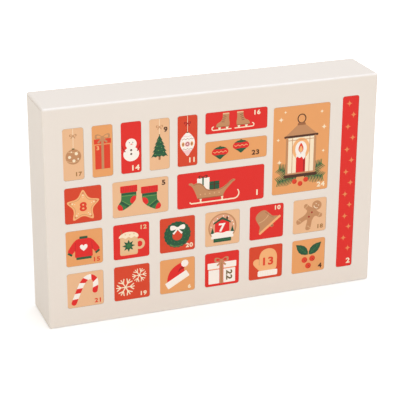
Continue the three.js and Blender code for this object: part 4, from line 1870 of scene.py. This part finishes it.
class CALENDAR_OT_doors(bpy.types.Operator):
    """Make the printed facing and the bare facing of each door"""

    bl_idname = "calendar.doors"
    bl_label = "Doors"
    bl_options = {"REGISTER", "UNDO"}

    def execute(self, context):
        make_doors(context)
        return {"FINISHED"}


class CALENDAR_OT_fluting(bpy.types.Operator):
    """Grow the fluted sheet inside each door"""

    bl_idname = "calendar.fluting"
    bl_label = "Fluting"
    bl_options = {"REGISTER", "UNDO"}

    def execute(self, context):
        make_fluting(context)
        return {"FINISHED"}


class CALENDAR_OT_creases(bpy.types.Operator):
    """Make the facing along the crease of each door"""

    bl_idname = "calendar.creases"
    bl_label = "Creases"
    bl_options = {"REGISTER", "UNDO"}

    def execute(self, context):
        make_creases(context)
        return {"FINISHED"}


class CALENDAR_OT_pictures(bpy.types.Operator):
    """Print the picture of each door"""

    bl_idname = "calendar.pictures"
    bl_label = "Pictures"
    bl_options = {"REGISTER", "UNDO"}

    def execute(self, context):
        make_pictures(context)
        return {"FINISHED"}


class CALENDAR_OT_numbers(bpy.types.Operator):
    """Print the plain number of each door"""

    bl_idname = "calendar.numbers"
    bl_label = "Numbers"
    bl_options = {"REGISTER", "UNDO"}

    def execute(self, context):
        make_numbers(context)
        return {"FINISHED"}


OPERATORS = (
    CALENDAR_OT_studio,
    CALENDAR_OT_carton,
    CALENDAR_OT_partition,
    CALENDAR_OT_doors,
    CALENDAR_OT_fluting,
    CALENDAR_OT_creases,
    CALENDAR_OT_pictures,
    CALENDAR_OT_numbers,
)


class CALENDAR_PT_make(bpy.types.Panel):
    """Lists the steps that finish the calendar."""

    bl_idname = "CALENDAR_PT_make"
    bl_label = "Pet advent calendar"
    bl_space_type = "VIEW_3D"
    bl_region_type = "UI"
    bl_category = "Calendar"

    def draw(self, context):
        for kind in OPERATORS:
            self.layout.operator(kind.bl_idname)


SETTINGS = {
    "calendar_board": CalendarBoard,
    "calendar_inks": CalendarInks,
    "calendar_studio": CalendarStudio,
}


def register():
    for name, kind in SETTINGS.items():
        bpy.utils.register_class(kind)
        setattr(bpy.types.Scene, name, PointerProperty(type=kind))
    for kind in (*OPERATORS, CALENDAR_PT_make):
        bpy.utils.register_class(kind)


def unregister():
    for kind in (CALENDAR_PT_make, *reversed(OPERATORS)):
        bpy.utils.unregister_class(kind)
    for name, kind in SETTINGS.items():
        delattr(bpy.types.Scene, name)
        bpy.utils.unregister_class(kind)


def main():
    """Makes everything in order."""
    register()
    for kind in OPERATORS:
        name = kind.bl_idname.split(".")[1]
        getattr(bpy.ops.calendar, name)()


if __name__ == "__main__":
    main()
